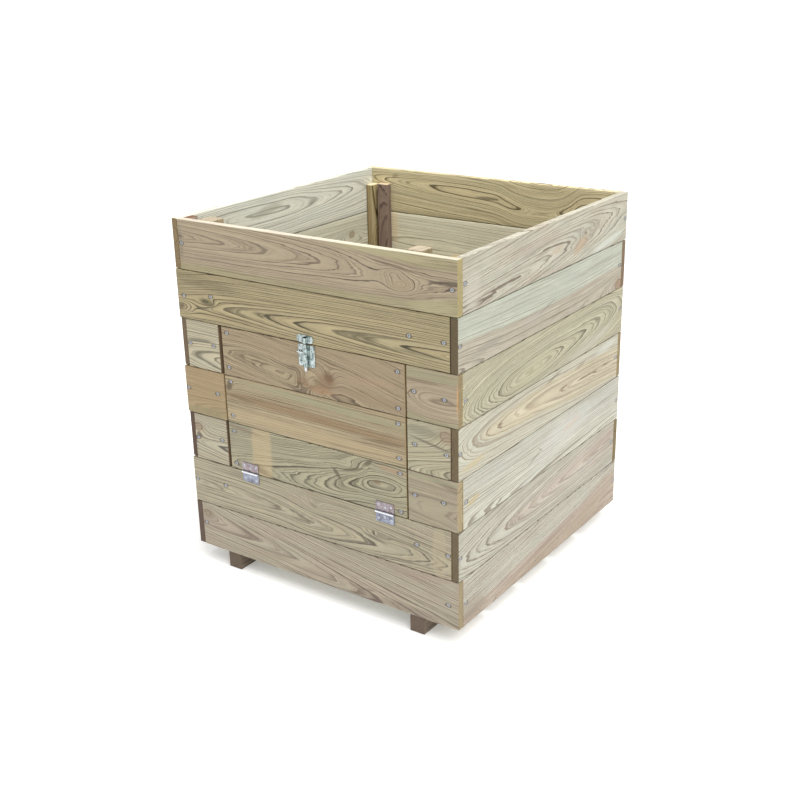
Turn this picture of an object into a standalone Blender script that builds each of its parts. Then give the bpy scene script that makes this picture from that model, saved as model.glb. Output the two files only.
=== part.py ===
"""Square timber planter box with a drop-down harvest hatch.

Seven courses of treated softwood boards are laid as a pinwheel (each board laps the
next one at the corner, and the lap swaps from course to course).  Three courses of the
front wall are cut out for a hatch that hangs on two butt hinges along its lower edge
and is held shut by a vertical barrel bolt.  The box stands on two runners.

World frame: +X to the right along the front, +Y to the back, +Z up.  The origin is at
the middle of the footprint, on the surface that the runners stand on.
Every length below is in millimetres and in the "box frame": x from the left outer face,
y from the front outer face, z from the lower edge of the lowest course.
"""

import math

import bmesh
import bpy
from mathutils import Vector

# ---------------------------------------------------------------- driving dimensions
SIDE = 790.0  # outer width and depth of the box
BOARD_T = 18.0  # board thickness
BOARD_H = 120.0  # board width, standing on edge
PITCH = 121.0  # course to course, which leaves a 1 mm joint
COURSES = 7
STACK = (COURSES - 1) * PITCH + BOARD_H  # 846, height of the wall
GAP = 0.3  # between pieces that touch

RUNNER_W, RUNNER_H, RUNNER_SET_BACK = 40.0, 45.0, 4.0
RUNNER_X = (115.5, 674.5)  # centre lines
POST_W, POST_D = 40.0, 40.0  # jamb posts behind the front wall
POST_X = (73.5, 654.5)  # left faces of the two posts
POST_TOP = (STACK, STACK + 1.5)
BATTEN_W, BATTEN_T = 34.0, 19.0  # corner and hatch battens
FLOOR_BOARDS, FLOOR_BOARD_W, FLOOR_BOARD_T = 5, 140.0, 18.0

HATCH_X0, HATCH_X1 = 133.0, 656.3
HATCH_Z0, HATCH_Z1 = 242.6, 603.8
STUB_LEFT_END = {3: 123.5, 4: 129.5, 5: 126.0}
STUB_RIGHT_START = {3: 659.5, 4: 659.5, 5: 659.0}

HINGE_X = (196.0, 596.0)  # centres of the two butt hinges
HINGE_L = 50.0  # along the axis
LEAF_REACH = 25.0  # axis to the free edge of a leaf
LEAF_T = 1.4
KNUCKLE_R, KNUCKLE_BORE_R, PIN_R = 2.9, 1.8, 1.4
KNUCKLES = 5
AXIS_Z = 241.8  # hinge axis
AXIS_Y = -(GAP + KNUCKLE_R)

BOLT_X = 392.0  # centre line of the barrel bolt
BOLT_Y = -(GAP + 1.5 + 0.5 + 3.4)  # centre of the rod, in front of the wall
ROD_R, ROD_BORE_R, BARREL_R = 3.4, 3.95, 5.3
HOUSING_X0, HOUSING_X1, HOUSING_Z0, HOUSING_Z1 = 369.0, 415.0, 551.0, 602.0
KEEPER_X0, KEEPER_X1, KEEPER_Z0, KEEPER_Z1 = 366.0, 412.0, 606.2, 624.2
PLATE_T = 1.5
ROD_Z0, ROD_Z1 = 541.0, 604.9  # withdrawn: the tip stands clear of the keeper
BOLT_TRAVEL = 12.0
KNOB_Z, KNOB_R, KNOB_TIP_X = 584.5, 2.2, 366.8

SCREW_HEAD_R, SCREW_SHANK_R, SCREW_SINK = 4.2, 2.0, 2.4  # countersunk 4 x 40 screws
HW_HEAD_R, HW_SHANK_R = 3.0, 1.5  # the ironmongery's own screws

FRONT_PROUD = -BOLT_Y + BARREL_R  # how far the barrel bolt stands off the wall
SHIFT = Vector((-SIDE / 2, -SIDE / 2 + FRONT_PROUD / 2, RUNNER_H))


# ---------------------------------------------------------------- helpers
def world(x, y, z):
    """Box-frame millimetres to world metres."""
    return (Vector((x, y, z)) + SHIFT) * 0.001


def clear_scene():
    for obj in list(bpy.data.objects):
        bpy.data.objects.remove(obj, do_unlink=True)


def material(name, colour, roughness, metallic=0.0):
    mat = bpy.data.materials.new(name)
    mat.use_nodes = True
    shader = mat.node_tree.nodes["Principled BSDF"]
    shader.inputs["Base Color"].default_value = (*colour, 1.0)
    shader.inputs["Roughness"].default_value = roughness
    shader.inputs["Metallic"].default_value = metallic
    mat.diffuse_color = (*colour, 1.0)
    mat.roughness = roughness
    mat.metallic = metallic
    return mat


def link(name, bm, centre, mat, parent=None):
    """Turns a bmesh, drawn around `centre` in box-frame millimetres, into a placed object."""
    bmesh.ops.recalc_face_normals(bm, faces=bm.faces[:])
    bmesh.ops.scale(bm, vec=(0.001,) * 3, verts=bm.verts[:])
    mesh = bpy.data.meshes.new(name)
    bm.to_mesh(mesh)
    bm.free()
    obj = bpy.data.objects.new(name, mesh)
    bpy.context.collection.objects.link(obj)
    if mat is not None:
        mesh.materials.append(mat)
    place = world(*centre)
    if parent is not None:
        obj.parent = parent
        place = place - parent_position(parent)
    obj.location = place
    return obj


def parent_position(obj):
    total = Vector(obj.location)
    while obj.parent is not None:
        obj = obj.parent
        total += obj.location
    return total


def empty(name, at, parent=None):
    obj = bpy.data.objects.new(name, None)
    obj.empty_display_size = 0.05
    bpy.context.collection.objects.link(obj)
    place = world(*at)
    if parent is not None:
        obj.parent = parent
        place = place - parent_position(parent)
    obj.location = place
    return obj


def add_box(bm, x0, x1, y0, y1, z0, z1, centre=(0, 0, 0)):
    made = bmesh.ops.create_cube(bm, size=1.0)
    size = Vector((x1 - x0, y1 - y0, z1 - z0))
    middle = Vector(((x0 + x1) / 2, (y0 + y1) / 2, (z0 + z1) / 2)) - Vector(centre)
    bmesh.ops.scale(bm, vec=size, verts=made["verts"])
    bmesh.ops.translate(bm, vec=middle, verts=made["verts"])
    return made["verts"]


def add_turned(bm, profile, at, axis, sides, centre=(0, 0, 0)):
    """A closed turned solid. profile: (distance along the axis, radius) pairs, start to end."""
    direction = Vector(axis).normalized()
    turn = Vector((0, 0, 1)).rotation_difference(direction).to_matrix()
    origin = Vector(at) - Vector(centre)
    rings = []
    for along, radius in profile:
        ring = []
        for i in range(sides):
            angle = 2 * math.pi * (i + 0.5) / sides
            point = Vector((radius * math.cos(angle), radius * math.sin(angle), along))
            ring.append(bm.verts.new(origin + turn @ point))
        rings.append(ring)
    for low, high in zip(rings, rings[1:]):
        for i in range(sides):
            j = (i + 1) % sides
            bm.faces.new((low[i], low[j], high[j], high[i]))
    bm.faces.new(tuple(reversed(rings[0])))
    bm.faces.new(tuple(rings[-1]))


def helper(name, bm, centre):
    """A cutter or an operand of a union: no node of its own."""
    obj = link(name, bm, centre, None)
    obj.hide_render = True
    obj.display_type = "WIRE"
    return obj


def boolean(obj, other, operation):
    mod = obj.modifiers.new(operation.title() + "_" + other.name, "BOOLEAN")
    mod.operation = operation
    mod.solver = "EXACT"
    mod.object = other


def bevel(obj, width, segments=1, angle=30):
    mod = obj.modifiers.new("Bevel", "BEVEL")
    mod.width = width * 0.001
    mod.segments = segments
    mod.limit_method = "ANGLE"
    mod.angle_limit = math.radians(angle)


def smooth(obj, angle=35):
    obj.data.shade_smooth()
    obj.data.set_sharp_from_angle(angle=math.radians(angle))


def screw_holes(obj, holes, normal, thickness, head_r, shank_r, sink, sides=8):
    """Countersunk clearance holes.  holes: points on the outer face; normal: out of that face."""
    if not holes:
        return
    bm = bmesh.new()
    centre = holes[0]
    inward = -Vector(normal)
    for hole in holes:
        profile = [
            (-0.6, head_r),
            (0.25, head_r),
            (sink, shank_r),
            (thickness + 1.0, shank_r),
        ]
        add_turned(bm, profile, hole, inward, sides, centre)
    boolean(obj, helper(obj.name + "_holes", bm, centre), "DIFFERENCE")


NORMALS = {"front": (0, -1, 0), "back": (0, 1, 0), "left": (-1, 0, 0), "right": (1, 0, 0)}


def board(name, x, y, z, mat, face=None, holes=(), parent=None, edge=1.2):
    """A sawn board between the pairs x, y and z, its edges eased.
    holes: (position along the wall, height) of each screw in the given outer face."""
    centre = tuple((low + high) / 2 for low, high in (x, y, z))
    bm = bmesh.new()
    add_box(bm, *x, *y, *z, centre)
    obj = link(name, bm, centre, mat, parent)
    bevel(obj, edge)
    if face:
        points = []
        for along, height in holes:
            points.append(
                {
                    "front": (along, y[0], height),
                    "back": (along, y[1], height),
                    "left": (x[0], along, height),
                    "right": (x[1], along, height),
                }[face]
            )
        thickness = (y[1] - y[0]) if face in ("front", "back") else (x[1] - x[0])
        screw_holes(
            obj, points, NORMALS[face], thickness, SCREW_HEAD_R, SCREW_SHANK_R, SCREW_SINK
        )
    return obj


def course_z(course):
    """Lower and upper edge of a course; course 1 is the top one."""
    low = (COURSES - course) * PITCH
    return low, low + BOARD_H


# ---------------------------------------------------------------- materials
clear_scene()

PINE = {
    "tan": material("pine_tan", (0.56, 0.45, 0.29), 0.72),
    "olive": material("pine_olive", (0.50, 0.45, 0.25), 0.72),
    "green": material("pine_green", (0.56, 0.57, 0.40), 0.72),
    "pale": material("pine_pale", (0.66, 0.62, 0.48), 0.70),
    "peach": material("pine_peach", (0.62, 0.47, 0.31), 0.70),
    "brown": material("pine_brown", (0.44, 0.35, 0.26), 0.75),
}
RUNNER = material("runner_timber", (0.50, 0.42, 0.28), 0.75)
ZINC = material("zinc_plate", (0.70, 0.71, 0.70), 0.30, 1.0)
STEEL = material("zinc_bolt_rod", (0.78, 0.78, 0.77), 0.25, 1.0)

# ---------------------------------------------------------------- walls
# How far each board stands in from the ideal outer line: (start, end, face).
EASE = {
    "front": {1: (0, 0, 0), 2: (0, 0.8, 0), 3: (0, 0, 0.4), 4: (0.6, 0.5, 0), 5: (0, 0.3, 0.3), 6: (1.6, 0.6, 0.2), 7: (0, 0, 0.5)},
    "right": {1: (0, 0, 0.3), 2: (0, 1.0, 0), 3: (0, 0.6, 0.5), 4: (0.6, 0, 0.2), 5: (0, 0.9, 0), 6: (0.4, 0, 0.6), 7: (0, 0.5, 0.2)},
    "back": {1: (0, 0, 0.2), 2: (0, 0.4, 0.5), 3: (0.5, 0, 0), 4: (0, 0.8, 0.4), 5: (0.7, 0, 0.2), 6: (0, 0, 0), 7: (0.3, 0, 0.4)},
    "left": {1: (0.8, 0, 0.6), 2: (0, 0.5, 0.2), 3: (3.8, 0, 0), 4: (0, 0, 0.5), 5: (4.0, 0.3, 0.3), 6: (0, 0.6, 0), 7: (1.2, 0, 0.4)},
}
TONE = {
    "front": {1: "tan", 2: "olive", 6: "olive", 7: "tan"},
    "right": {1: "peach", 2: "green", 3: "green", 4: "peach", 5: "pale", 6: "green", 7: "brown"},
    "back": {1: "olive", 2: "pale", 3: "green", 4: "tan", 5: "pale", 6: "olive", 7: "green"},
    "left": {1: "pale", 2: "pale", 3: "olive", 4: "tan", 5: "brown", 6: "green", 7: "brown"},
}
STUB_TONE = {"left": {3: "pale", 4: "peach", 5: "pale"}, "right": {3: "tan", 4: "green", 5: "peach"}}

# Screws of the front wall, measured along x, one near each end of a board.
FRONT_END_SCREWS = {
    1: (27.8, 776.0), 2: (20.6, 755.5), 3: (27.5, 755.5), 4: (9.5, 760.6),
    5: (27.5, 752.0), 6: (11.6, 762.5), 7: (29.5, 762.0),
}
POST_SCREWS = {2: (108.0, 668.8), 3: (104.4, 679.0), 4: (105.2, 679.2), 5: (107.5, 676.9), 6: (108.0, 680.0)}


def front_span(course):
    """The pinwheel: odd courses start behind the left wall's lap, even ones at the corner."""
    start, end, _ = EASE["front"][course]
    if course % 2:
        return BOARD_T + GAP + start, SIDE - end
    return start, SIDE - BOARD_T - GAP - end


def wall_span(wall, course):
    """(start, end) along the wall of a right, back or left board."""
    start, end, _ = EASE[wall][course]
    odd = course % 2 == 1
    behind_start = odd if wall == "right" else (not odd)
    # right, odd: y from 18 to 790; back, odd: x from 0 to 772; left, odd: y from 0 to 772
    if behind_start:
        return BOARD_T + GAP + start, SIDE - end
    return start, SIDE - BOARD_T - GAP - end


for course in range(1, COURSES + 1):
    low, high = course_z(course)
    middle = (low + high) / 2
    inset = EASE["front"][course][2]
    x0, x1 = front_span(course)
    left_screw, right_screw = FRONT_END_SCREWS[course]
    wobble = 4.0 * math.sin(2.1 * course)
    if course in STUB_LEFT_END:
        board(
            f"front_stub_left_{course}",
            (x0, STUB_LEFT_END[course]),
            (inset, BOARD_T),
            (low, high),
            PINE[STUB_TONE["left"][course]],
            "front",
            [(left_screw, middle + wobble), (POST_SCREWS[course][0], middle + 5)],
        )
        board(
            f"front_stub_right_{course}",
            (STUB_RIGHT_START[course], x1),
            (inset, BOARD_T),
            (low, high),
            PINE[STUB_TONE["right"][course]],
            "front",
            [(POST_SCREWS[course][1], middle + 4), (right_screw, middle - wobble)],
        )
    else:
        holes = [(left_screw, middle + wobble), (right_screw, middle - wobble)]
        if course in POST_SCREWS:
            holes += [(POST_SCREWS[course][0], middle + 5), (POST_SCREWS[course][1], middle + 4)]
        board(
            f"front_board_{course}",
            (x0, x1),
            (inset, BOARD_T),
            (low, high),
            PINE[TONE["front"][course]],
            "front",
            holes,
        )
    for wall in ("right", "back", "left"):
        start, end = wall_span(wall, course)
        inset = EASE[wall][course][2]
        phase = {"right": 0.0, "back": 1.3, "left": 2.6}[wall]
        wobble = 5.0 * math.sin(1.7 * course + phase)
        lap_a = 10.0 + 3.0 * math.sin(2.9 * course + phase)
        lap_b = 12.0 + 3.0 * math.cos(2.3 * course + phase)
        holes = [(start + lap_a, middle + wobble), (end - lap_b, middle - wobble)]
        outer_low, outer_high = inset, SIDE - inset
        if wall == "right":
            x, y = (SIDE - BOARD_T, outer_high), (start, end)
        elif wall == "left":
            x, y = (outer_low, BOARD_T), (start, end)
        else:
            x, y = (start, end), (SIDE - BOARD_T, outer_high)
        board(f"{wall}_board_{course}", x, y, (low, high), PINE[TONE[wall][course]], wall, holes)

# ---------------------------------------------------------------- inner frame, floor, runners
inside = BOARD_T + GAP
floor_top = FLOOR_BOARD_T + GAP
standing = floor_top + GAP
for side, x, top in zip(("left", "right"), POST_X, POST_TOP):
    width = POST_W if side == "left" else 38.0
    board(
        f"jamb_post_{side}", (x, x + width), (inside, inside + POST_D), (standing, top),
        PINE["pale"], edge=1.5,
    )

CORNER_BATTENS = (
    # name, x pair, y pair, top
    ("corner_batten_front_left", (inside, inside + BATTEN_T), (inside, inside + BATTEN_W), 844.5, "brown"),
    ("corner_batten_front_right", (SIDE - inside - BATTEN_T, SIDE - inside), (inside, inside + BATTEN_W), 842.0, "tan"),
    ("corner_batten_back_left_side", (inside, inside + BATTEN_T), (739.0, SIDE - inside), 802.0, "tan"),
    ("corner_batten_back_left_rear", (46.0, 80.0), (SIDE - inside - BATTEN_T, SIDE - inside), 805.0, "brown"),
    ("corner_batten_back_right_side", (SIDE - inside - BATTEN_T, SIDE - inside), (738.0, SIDE - inside), 806.0, "pale"),
    ("corner_batten_back_right_rear", (711.0, 745.0), (SIDE - inside - BATTEN_T, SIDE - inside), 803.0, "tan"),
)
for name, x, y, top, tone in CORNER_BATTENS:
    board(name, x, y, (standing, top), PINE[tone])

inner_depth = SIDE - 2 * (inside + 2.0)
spacing = (inner_depth - FLOOR_BOARDS * FLOOR_BOARD_W) / (FLOOR_BOARDS - 1)
for i in range(FLOOR_BOARDS):
    y0 = inside + 2.0 + i * (FLOOR_BOARD_W + spacing)
    board(
        f"floor_board_{i + 1}", (inside, SIDE - inside), (y0, y0 + FLOOR_BOARD_W), (GAP, floor_top),
        PINE["green"],
    )

for side, x in zip(("left", "right"), RUNNER_X):
    board(
        f"runner_{side}",
        (x - RUNNER_W / 2, x + RUNNER_W / 2),
        (RUNNER_SET_BACK, SIDE - RUNNER_SET_BACK),
        (-RUNNER_H, -GAP),
        RUNNER,
        edge=1.5,
    )

# ---------------------------------------------------------------- hatch
hatch_axis = empty("hatch_axis", (SIDE / 2, AXIS_Y, AXIS_Z))
HATCH_SCREW_X = ((150.0, 638.0), (151.5, 637.0), (150.5, 638.5))  # left, right
HATCH_SCREW_Z = (  # two heights at the left end, two at the right
    ((589.0, 504.0), (584.0, 501.0)),
    ((468.0, 382.0), (465.0, 384.0)),
    ((341.0, 256.0), (348.0, 255.0)),
)
HATCH_ENDS = ((HATCH_X0 + 0.2, HATCH_X1), (HATCH_X0, HATCH_X1 - 0.4), (HATCH_X0 + 0.8, HATCH_X1 - 0.2))
HATCH_TONES = ("tan", "olive", "green")
for i, place in enumerate(("top", "middle", "bottom")):
    high = HATCH_Z1 - i * (120.0 + 0.6)
    low = high - 120.0
    (zl, zr), (xl, xr) = HATCH_SCREW_Z[i], HATCH_SCREW_X[i]
    board(
        f"hatch_board_{place}",
        HATCH_ENDS[i],
        (0.0, BOARD_T),
        (max(low, HATCH_Z0), high),
        PINE[HATCH_TONES[i]],
        "front",
        [(xl, z) for z in zl] + [(xr, z) for z in zr],
        hatch_axis,
    )
for side, x in zip(("left", "right"), (139.0, 617.0)):
    board(
        f"hatch_batten_{side}", (x, x + BATTEN_W), (inside, inside + BATTEN_T), (247.0, 599.0),
        PINE["tan"], parent=hatch_axis,
    )

# ---------------------------------------------------------------- butt hinges
KNUCKLE_L = HINGE_L / KNUCKLES


def hinge_leaf(name, x, upward, own, parent=None):
    """One leaf: a flat plate, its share of the knuckles rolled round the pin, and three
    countersunk holes."""
    centre = (x, AXIS_Y, AXIS_Z)
    way = 1 if upward else -1
    half = HINGE_L / 2
    back, front = -GAP, -GAP - LEAF_T

    # The plate's outline is a comb: a tooth runs in to each knuckle that this leaf owns.
    segments = []
    for i in range(KNUCKLES):
        x0 = -half + i * KNUCKLE_L + (0.2 if i else 0.0)
        x1 = -half + (i + 1) * KNUCKLE_L - (0.2 if i < KNUCKLES - 1 else 0.0)
        segments.append((x0, x1, i % 2 == own))
    shoulder, tip = KNUCKLE_R + 0.5, -0.7
    outline = [(half, LEAF_REACH), (-half, LEAF_REACH)]
    for i, (x0, x1, mine) in enumerate(segments):
        if mine:
            if i:
                outline.append((x0, shoulder))
            outline += [(x0, tip), (x1, tip)]
            if i < KNUCKLES - 1:
                outline.append((x1, shoulder))
        else:
            if i == 0:
                outline.append((x0, shoulder))
            if i == KNUCKLES - 1:
                outline.append((x1, shoulder))
    bm = bmesh.new()
    near = [bm.verts.new((px, front - AXIS_Y, way * pz)) for px, pz in outline]
    far = [bm.verts.new((px, back - AXIS_Y, way * pz)) for px, pz in outline]
    bm.faces.new(near)
    bm.faces.new(tuple(reversed(far)))
    for i in range(len(outline)):
        j = (i + 1) % len(outline)
        bm.faces.new((near[i], far[i], far[j], near[j]))
    leaf = link(name, bm, centre, ZINC, parent)

    bm = bmesh.new()
    for x0, x1, mine in segments:
        if mine:
            add_turned(
                bm, [(0, KNUCKLE_R), (x1 - x0, KNUCKLE_R)], (x + x0, AXIS_Y, AXIS_Z), (1, 0, 0), 12, centre
            )
    barrels = helper(name + "_barrels", bm, centre)
    bm = bmesh.new()
    add_turned(
        bm,
        [(-2, KNUCKLE_BORE_R), (HINGE_L + 2, KNUCKLE_BORE_R)],
        (x - half, AXIS_Y, AXIS_Z),
        (1, 0, 0),
        12,
        centre,
    )
    bore = helper(name + "_bore", bm, centre)
    boolean(leaf, barrels, "UNION")
    boolean(leaf, bore, "DIFFERENCE")
    rows = ((-17.5, 16.5), (0.0, 11.5), (17.5, 16.5))
    holes = [(x + dx, front, AXIS_Z + way * dz) for dx, dz in rows]
    screw_holes(leaf, holes, (0, -1, 0), LEAF_T, HW_HEAD_R, HW_SHANK_R, 1.1, sides=10)
    smooth(leaf)
    return leaf


for side, x in zip(("left", "right"), HINGE_X):
    hinge_leaf(f"hinge_{side}_fixed_leaf", x, upward=False, own=0)
    hinge_leaf(f"hinge_{side}_hatch_leaf", x, upward=True, own=1, parent=hatch_axis)
    bm = bmesh.new()
    half = HINGE_L / 2
    add_turned(
        bm,
        [
            (-0.9, 1.5), (-0.4, 2.3), (-GAP, 2.3), (-GAP, PIN_R), (HINGE_L + GAP, PIN_R),
            (HINGE_L + GAP, 2.1), (HINGE_L + 0.8, 1.4),
        ],
        (x - half, AXIS_Y, AXIS_Z),
        (1, 0, 0),
        12,
        (x, AXIS_Y, AXIS_Z),
    )
    smooth(link(f"hinge_{side}_pin", bm, (x, AXIS_Y, AXIS_Z), STEEL))


# ---------------------------------------------------------------- barrel bolt
def rounded_plate(bm, x0, x1, z0, z1, y0, y1, radius, centre, steps=3):
    """An upright plate with rounded corners."""
    outline = []
    for cx, cz, start in (
        (x1 - radius, z1 - radius, 0),
        (x0 + radius, z1 - radius, 90),
        (x0 + radius, z0 + radius, 180),
        (x1 - radius, z0 + radius, 270),
    ):
        for k in range(steps + 1):
            angle = math.radians(start + 90 * k / steps)
            outline.append((cx + radius * math.cos(angle), cz + radius * math.sin(angle)))
    front = [bm.verts.new(Vector((x, y0, z)) - Vector(centre)) for x, z in outline]
    back = [bm.verts.new(Vector((x, y1, z)) - Vector(centre)) for x, z in outline]
    count = len(outline)
    bm.faces.new(front)
    bm.faces.new(tuple(reversed(back)))
    for i in range(count):
        j = (i + 1) % count
        bm.faces.new((front[i], back[i], back[j], front[j]))


def saddle(half, top, round_steps=8):
    """Outline of the half-round cover over the rod: an arch on straight cheeks."""
    points = [(half, -GAP - 0.3)]
    for k in range(round_steps + 1):
        angle = math.pi * k / round_steps
        points.append((half * math.cos(angle), top + half - half * math.sin(angle)))
    points.append((-half, -GAP - 0.3))
    return points


def bridge(half, top, corner=1.4):
    """Outline of the keeper's bent strap: square, with its two bends eased."""
    soft = corner * 0.3
    right = [
        (half, -GAP - 0.3), (half, top + corner), (half - soft, top + soft), (half - corner, top),
    ]
    return right + [(-x, y) for x, y in reversed(right)]


def bolt_plate(name, x0, x1, z0, z1, radius, outline, cover, holes, parent=None):
    """A plate with a raised cover of the given outline, from cover[0] to cover[1]."""
    centre = (BOLT_X, -GAP - PLATE_T / 2, (z0 + z1) / 2)
    bm = bmesh.new()
    rounded_plate(bm, x0, x1, z0, z1, -GAP - PLATE_T, -GAP, radius, centre)
    plate = link(name, bm, centre, ZINC, parent)
    bm = bmesh.new()
    low = [bm.verts.new(Vector((BOLT_X + x, y, cover[0])) - Vector(centre)) for x, y in outline]
    high = [bm.verts.new(Vector((BOLT_X + x, y, cover[1])) - Vector(centre)) for x, y in outline]
    bm.faces.new(low)
    bm.faces.new(tuple(reversed(high)))
    for i in range(len(outline)):
        j = (i + 1) % len(outline)
        bm.faces.new((low[i], high[i], high[j], low[j]))
    boolean(plate, helper(name + "_cover", bm, centre), "UNION")
    screw_holes(
        plate,
        [(x, -GAP - PLATE_T, z) for x, z in holes],
        (0, -1, 0), PLATE_T, HW_HEAD_R, HW_SHANK_R, 1.2, sides=10,
    )
    return plate


COVER_TOP = BOLT_Y - BARREL_R
housing = bolt_plate(
    "bolt_housing", HOUSING_X0, HOUSING_X1, HOUSING_Z0, HOUSING_Z1, 3.0,
    saddle(BARREL_R, COVER_TOP), (HOUSING_Z0 + 0.5, HOUSING_Z1 - 0.5),
    [(376.3, 594.5), (376.5, 557.5), (407.5, 594.5), (407.5, 557.5)],
    hatch_axis,
)
# Bored right through for the rod.
bm = bmesh.new()
bore_centre = (BOLT_X, BOLT_Y, HOUSING_Z0)
add_turned(
    bm, [(-5, ROD_BORE_R), (HOUSING_Z1 - HOUSING_Z0 + 5, ROD_BORE_R)], bore_centre, (0, 0, 1), 16,
    bore_centre,
)
boolean(housing, helper("bolt_housing_bore", bm, bore_centre), "DIFFERENCE")
# The knob's slot, open to the left, as long as the bolt's travel.
bm = bmesh.new()
slot_low = KNOB_Z - KNOB_R - 0.5
slot_high = KNOB_Z + BOLT_TRAVEL + KNOB_R + 0.5
slot_centre = (BOLT_X - 6.0, BOLT_Y, (slot_low + slot_high) / 2)
add_box(
    bm, BOLT_X - 12.0, BOLT_X, BOLT_Y - KNOB_R - 0.45, BOLT_Y + KNOB_R + 0.45,
    slot_low, slot_high, slot_centre,
)
boolean(housing, helper("bolt_housing_slot", bm, slot_centre), "DIFFERENCE")
smooth(housing)

keeper = bolt_plate(
    "bolt_keeper", KEEPER_X0, KEEPER_X1, KEEPER_Z0, KEEPER_Z1, 8.0,
    bridge(BARREL_R, COVER_TOP), (KEEPER_Z0 + 2.0, KEEPER_Z1 - 4.0),
    [(374.0, 615.5), (404.5, 615.5)],
)
# The square loop that the rod's tip enters.
bm = bmesh.new()
loop_centre = (BOLT_X, BOLT_Y, (KEEPER_Z0 + KEEPER_Z1) / 2)
add_box(
    bm, BOLT_X - ROD_BORE_R, BOLT_X + ROD_BORE_R, BOLT_Y - ROD_BORE_R, -GAP - PLATE_T + 0.3,
    KEEPER_Z0 - 2.0, KEEPER_Z1 + 2.0, loop_centre,
)
boolean(keeper, helper("bolt_keeper_loop", bm, loop_centre), "DIFFERENCE")
smooth(keeper)

# The rod with its side knob, one bent piece.
bolt_axis = empty("bolt_axis", (BOLT_X, BOLT_Y, ROD_Z0), hatch_axis)
bm = bmesh.new()
rod_centre = (BOLT_X, BOLT_Y, ROD_Z0)
length = ROD_Z1 - ROD_Z0
add_turned(
    bm,
    [(0, 2.7), (0.8, ROD_R), (length - 1.4, ROD_R), (length - 0.4, 2.4), (length, 1.2)],
    rod_centre,
    (0, 0, 1),
    16,
    rod_centre,
)
rod = link("bolt_rod", bm, rod_centre, STEEL, bolt_axis)
bm = bmesh.new()
reach = BOLT_X - KNOB_TIP_X
add_turned(
    bm,
    [
        (1.0, 1.9), (reach - 7.0, 1.9), (reach - 5.5, KNOB_R), (reach - 1.2, KNOB_R),
        (reach - 0.3, 1.5), (reach, 0.8),
    ],
    (BOLT_X, BOLT_Y, KNOB_Z),
    (-1, 0, 0),
    12,
    rod_centre,
)
boolean(rod, helper("bolt_rod_knob", bm, rod_centre), "UNION")
smooth(rod)
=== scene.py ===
import math

import bpy
import bmesh
import numpy as np
from mathutils import Matrix, Vector, noise

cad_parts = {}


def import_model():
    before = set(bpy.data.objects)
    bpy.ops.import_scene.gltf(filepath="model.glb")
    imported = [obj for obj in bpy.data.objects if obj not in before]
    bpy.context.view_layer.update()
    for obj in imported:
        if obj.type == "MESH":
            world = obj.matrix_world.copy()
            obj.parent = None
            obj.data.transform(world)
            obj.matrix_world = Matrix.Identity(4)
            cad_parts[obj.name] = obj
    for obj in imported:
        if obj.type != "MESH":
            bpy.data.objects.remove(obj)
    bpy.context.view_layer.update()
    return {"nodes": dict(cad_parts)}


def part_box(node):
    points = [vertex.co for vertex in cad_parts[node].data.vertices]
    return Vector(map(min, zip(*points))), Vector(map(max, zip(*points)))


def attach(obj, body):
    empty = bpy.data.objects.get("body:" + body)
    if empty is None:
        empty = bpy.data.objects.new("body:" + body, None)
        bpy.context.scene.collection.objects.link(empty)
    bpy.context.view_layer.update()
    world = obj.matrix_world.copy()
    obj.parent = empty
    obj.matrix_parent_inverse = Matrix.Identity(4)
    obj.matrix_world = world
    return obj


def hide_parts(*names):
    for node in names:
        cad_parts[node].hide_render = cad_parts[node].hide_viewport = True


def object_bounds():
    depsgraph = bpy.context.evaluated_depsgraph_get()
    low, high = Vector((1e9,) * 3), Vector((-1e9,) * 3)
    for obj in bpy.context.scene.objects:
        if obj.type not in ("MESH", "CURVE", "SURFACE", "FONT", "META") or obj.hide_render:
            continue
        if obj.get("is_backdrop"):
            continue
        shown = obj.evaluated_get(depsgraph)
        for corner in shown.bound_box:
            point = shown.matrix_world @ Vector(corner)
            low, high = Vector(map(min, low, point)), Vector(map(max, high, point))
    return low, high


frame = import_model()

MM = 0.001
SHIFT = Vector((-395.0, -389.5, 45.0))  # box-frame millimetres to the row frame
SIDE, BOARD_T, BOARD_H, PITCH = 790.0, 18.0, 120.0, 121.0


def world(x, y, z):
    return (Vector((x, y, z)) + SHIFT) * MM


def node_box(name):
    """Lowest and highest corner of a CAD node, in box-frame millimetres."""
    lo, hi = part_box(name)
    return lo / MM - SHIFT, hi / MM - SHIFT


def srgb(r, g, b):
    def one(c):
        c = c / 255.0
        return c / 12.92 if c <= 0.04045 else ((c + 0.055) / 1.055) ** 2.4

    return (one(r), one(g), one(b), 1.0)


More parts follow.
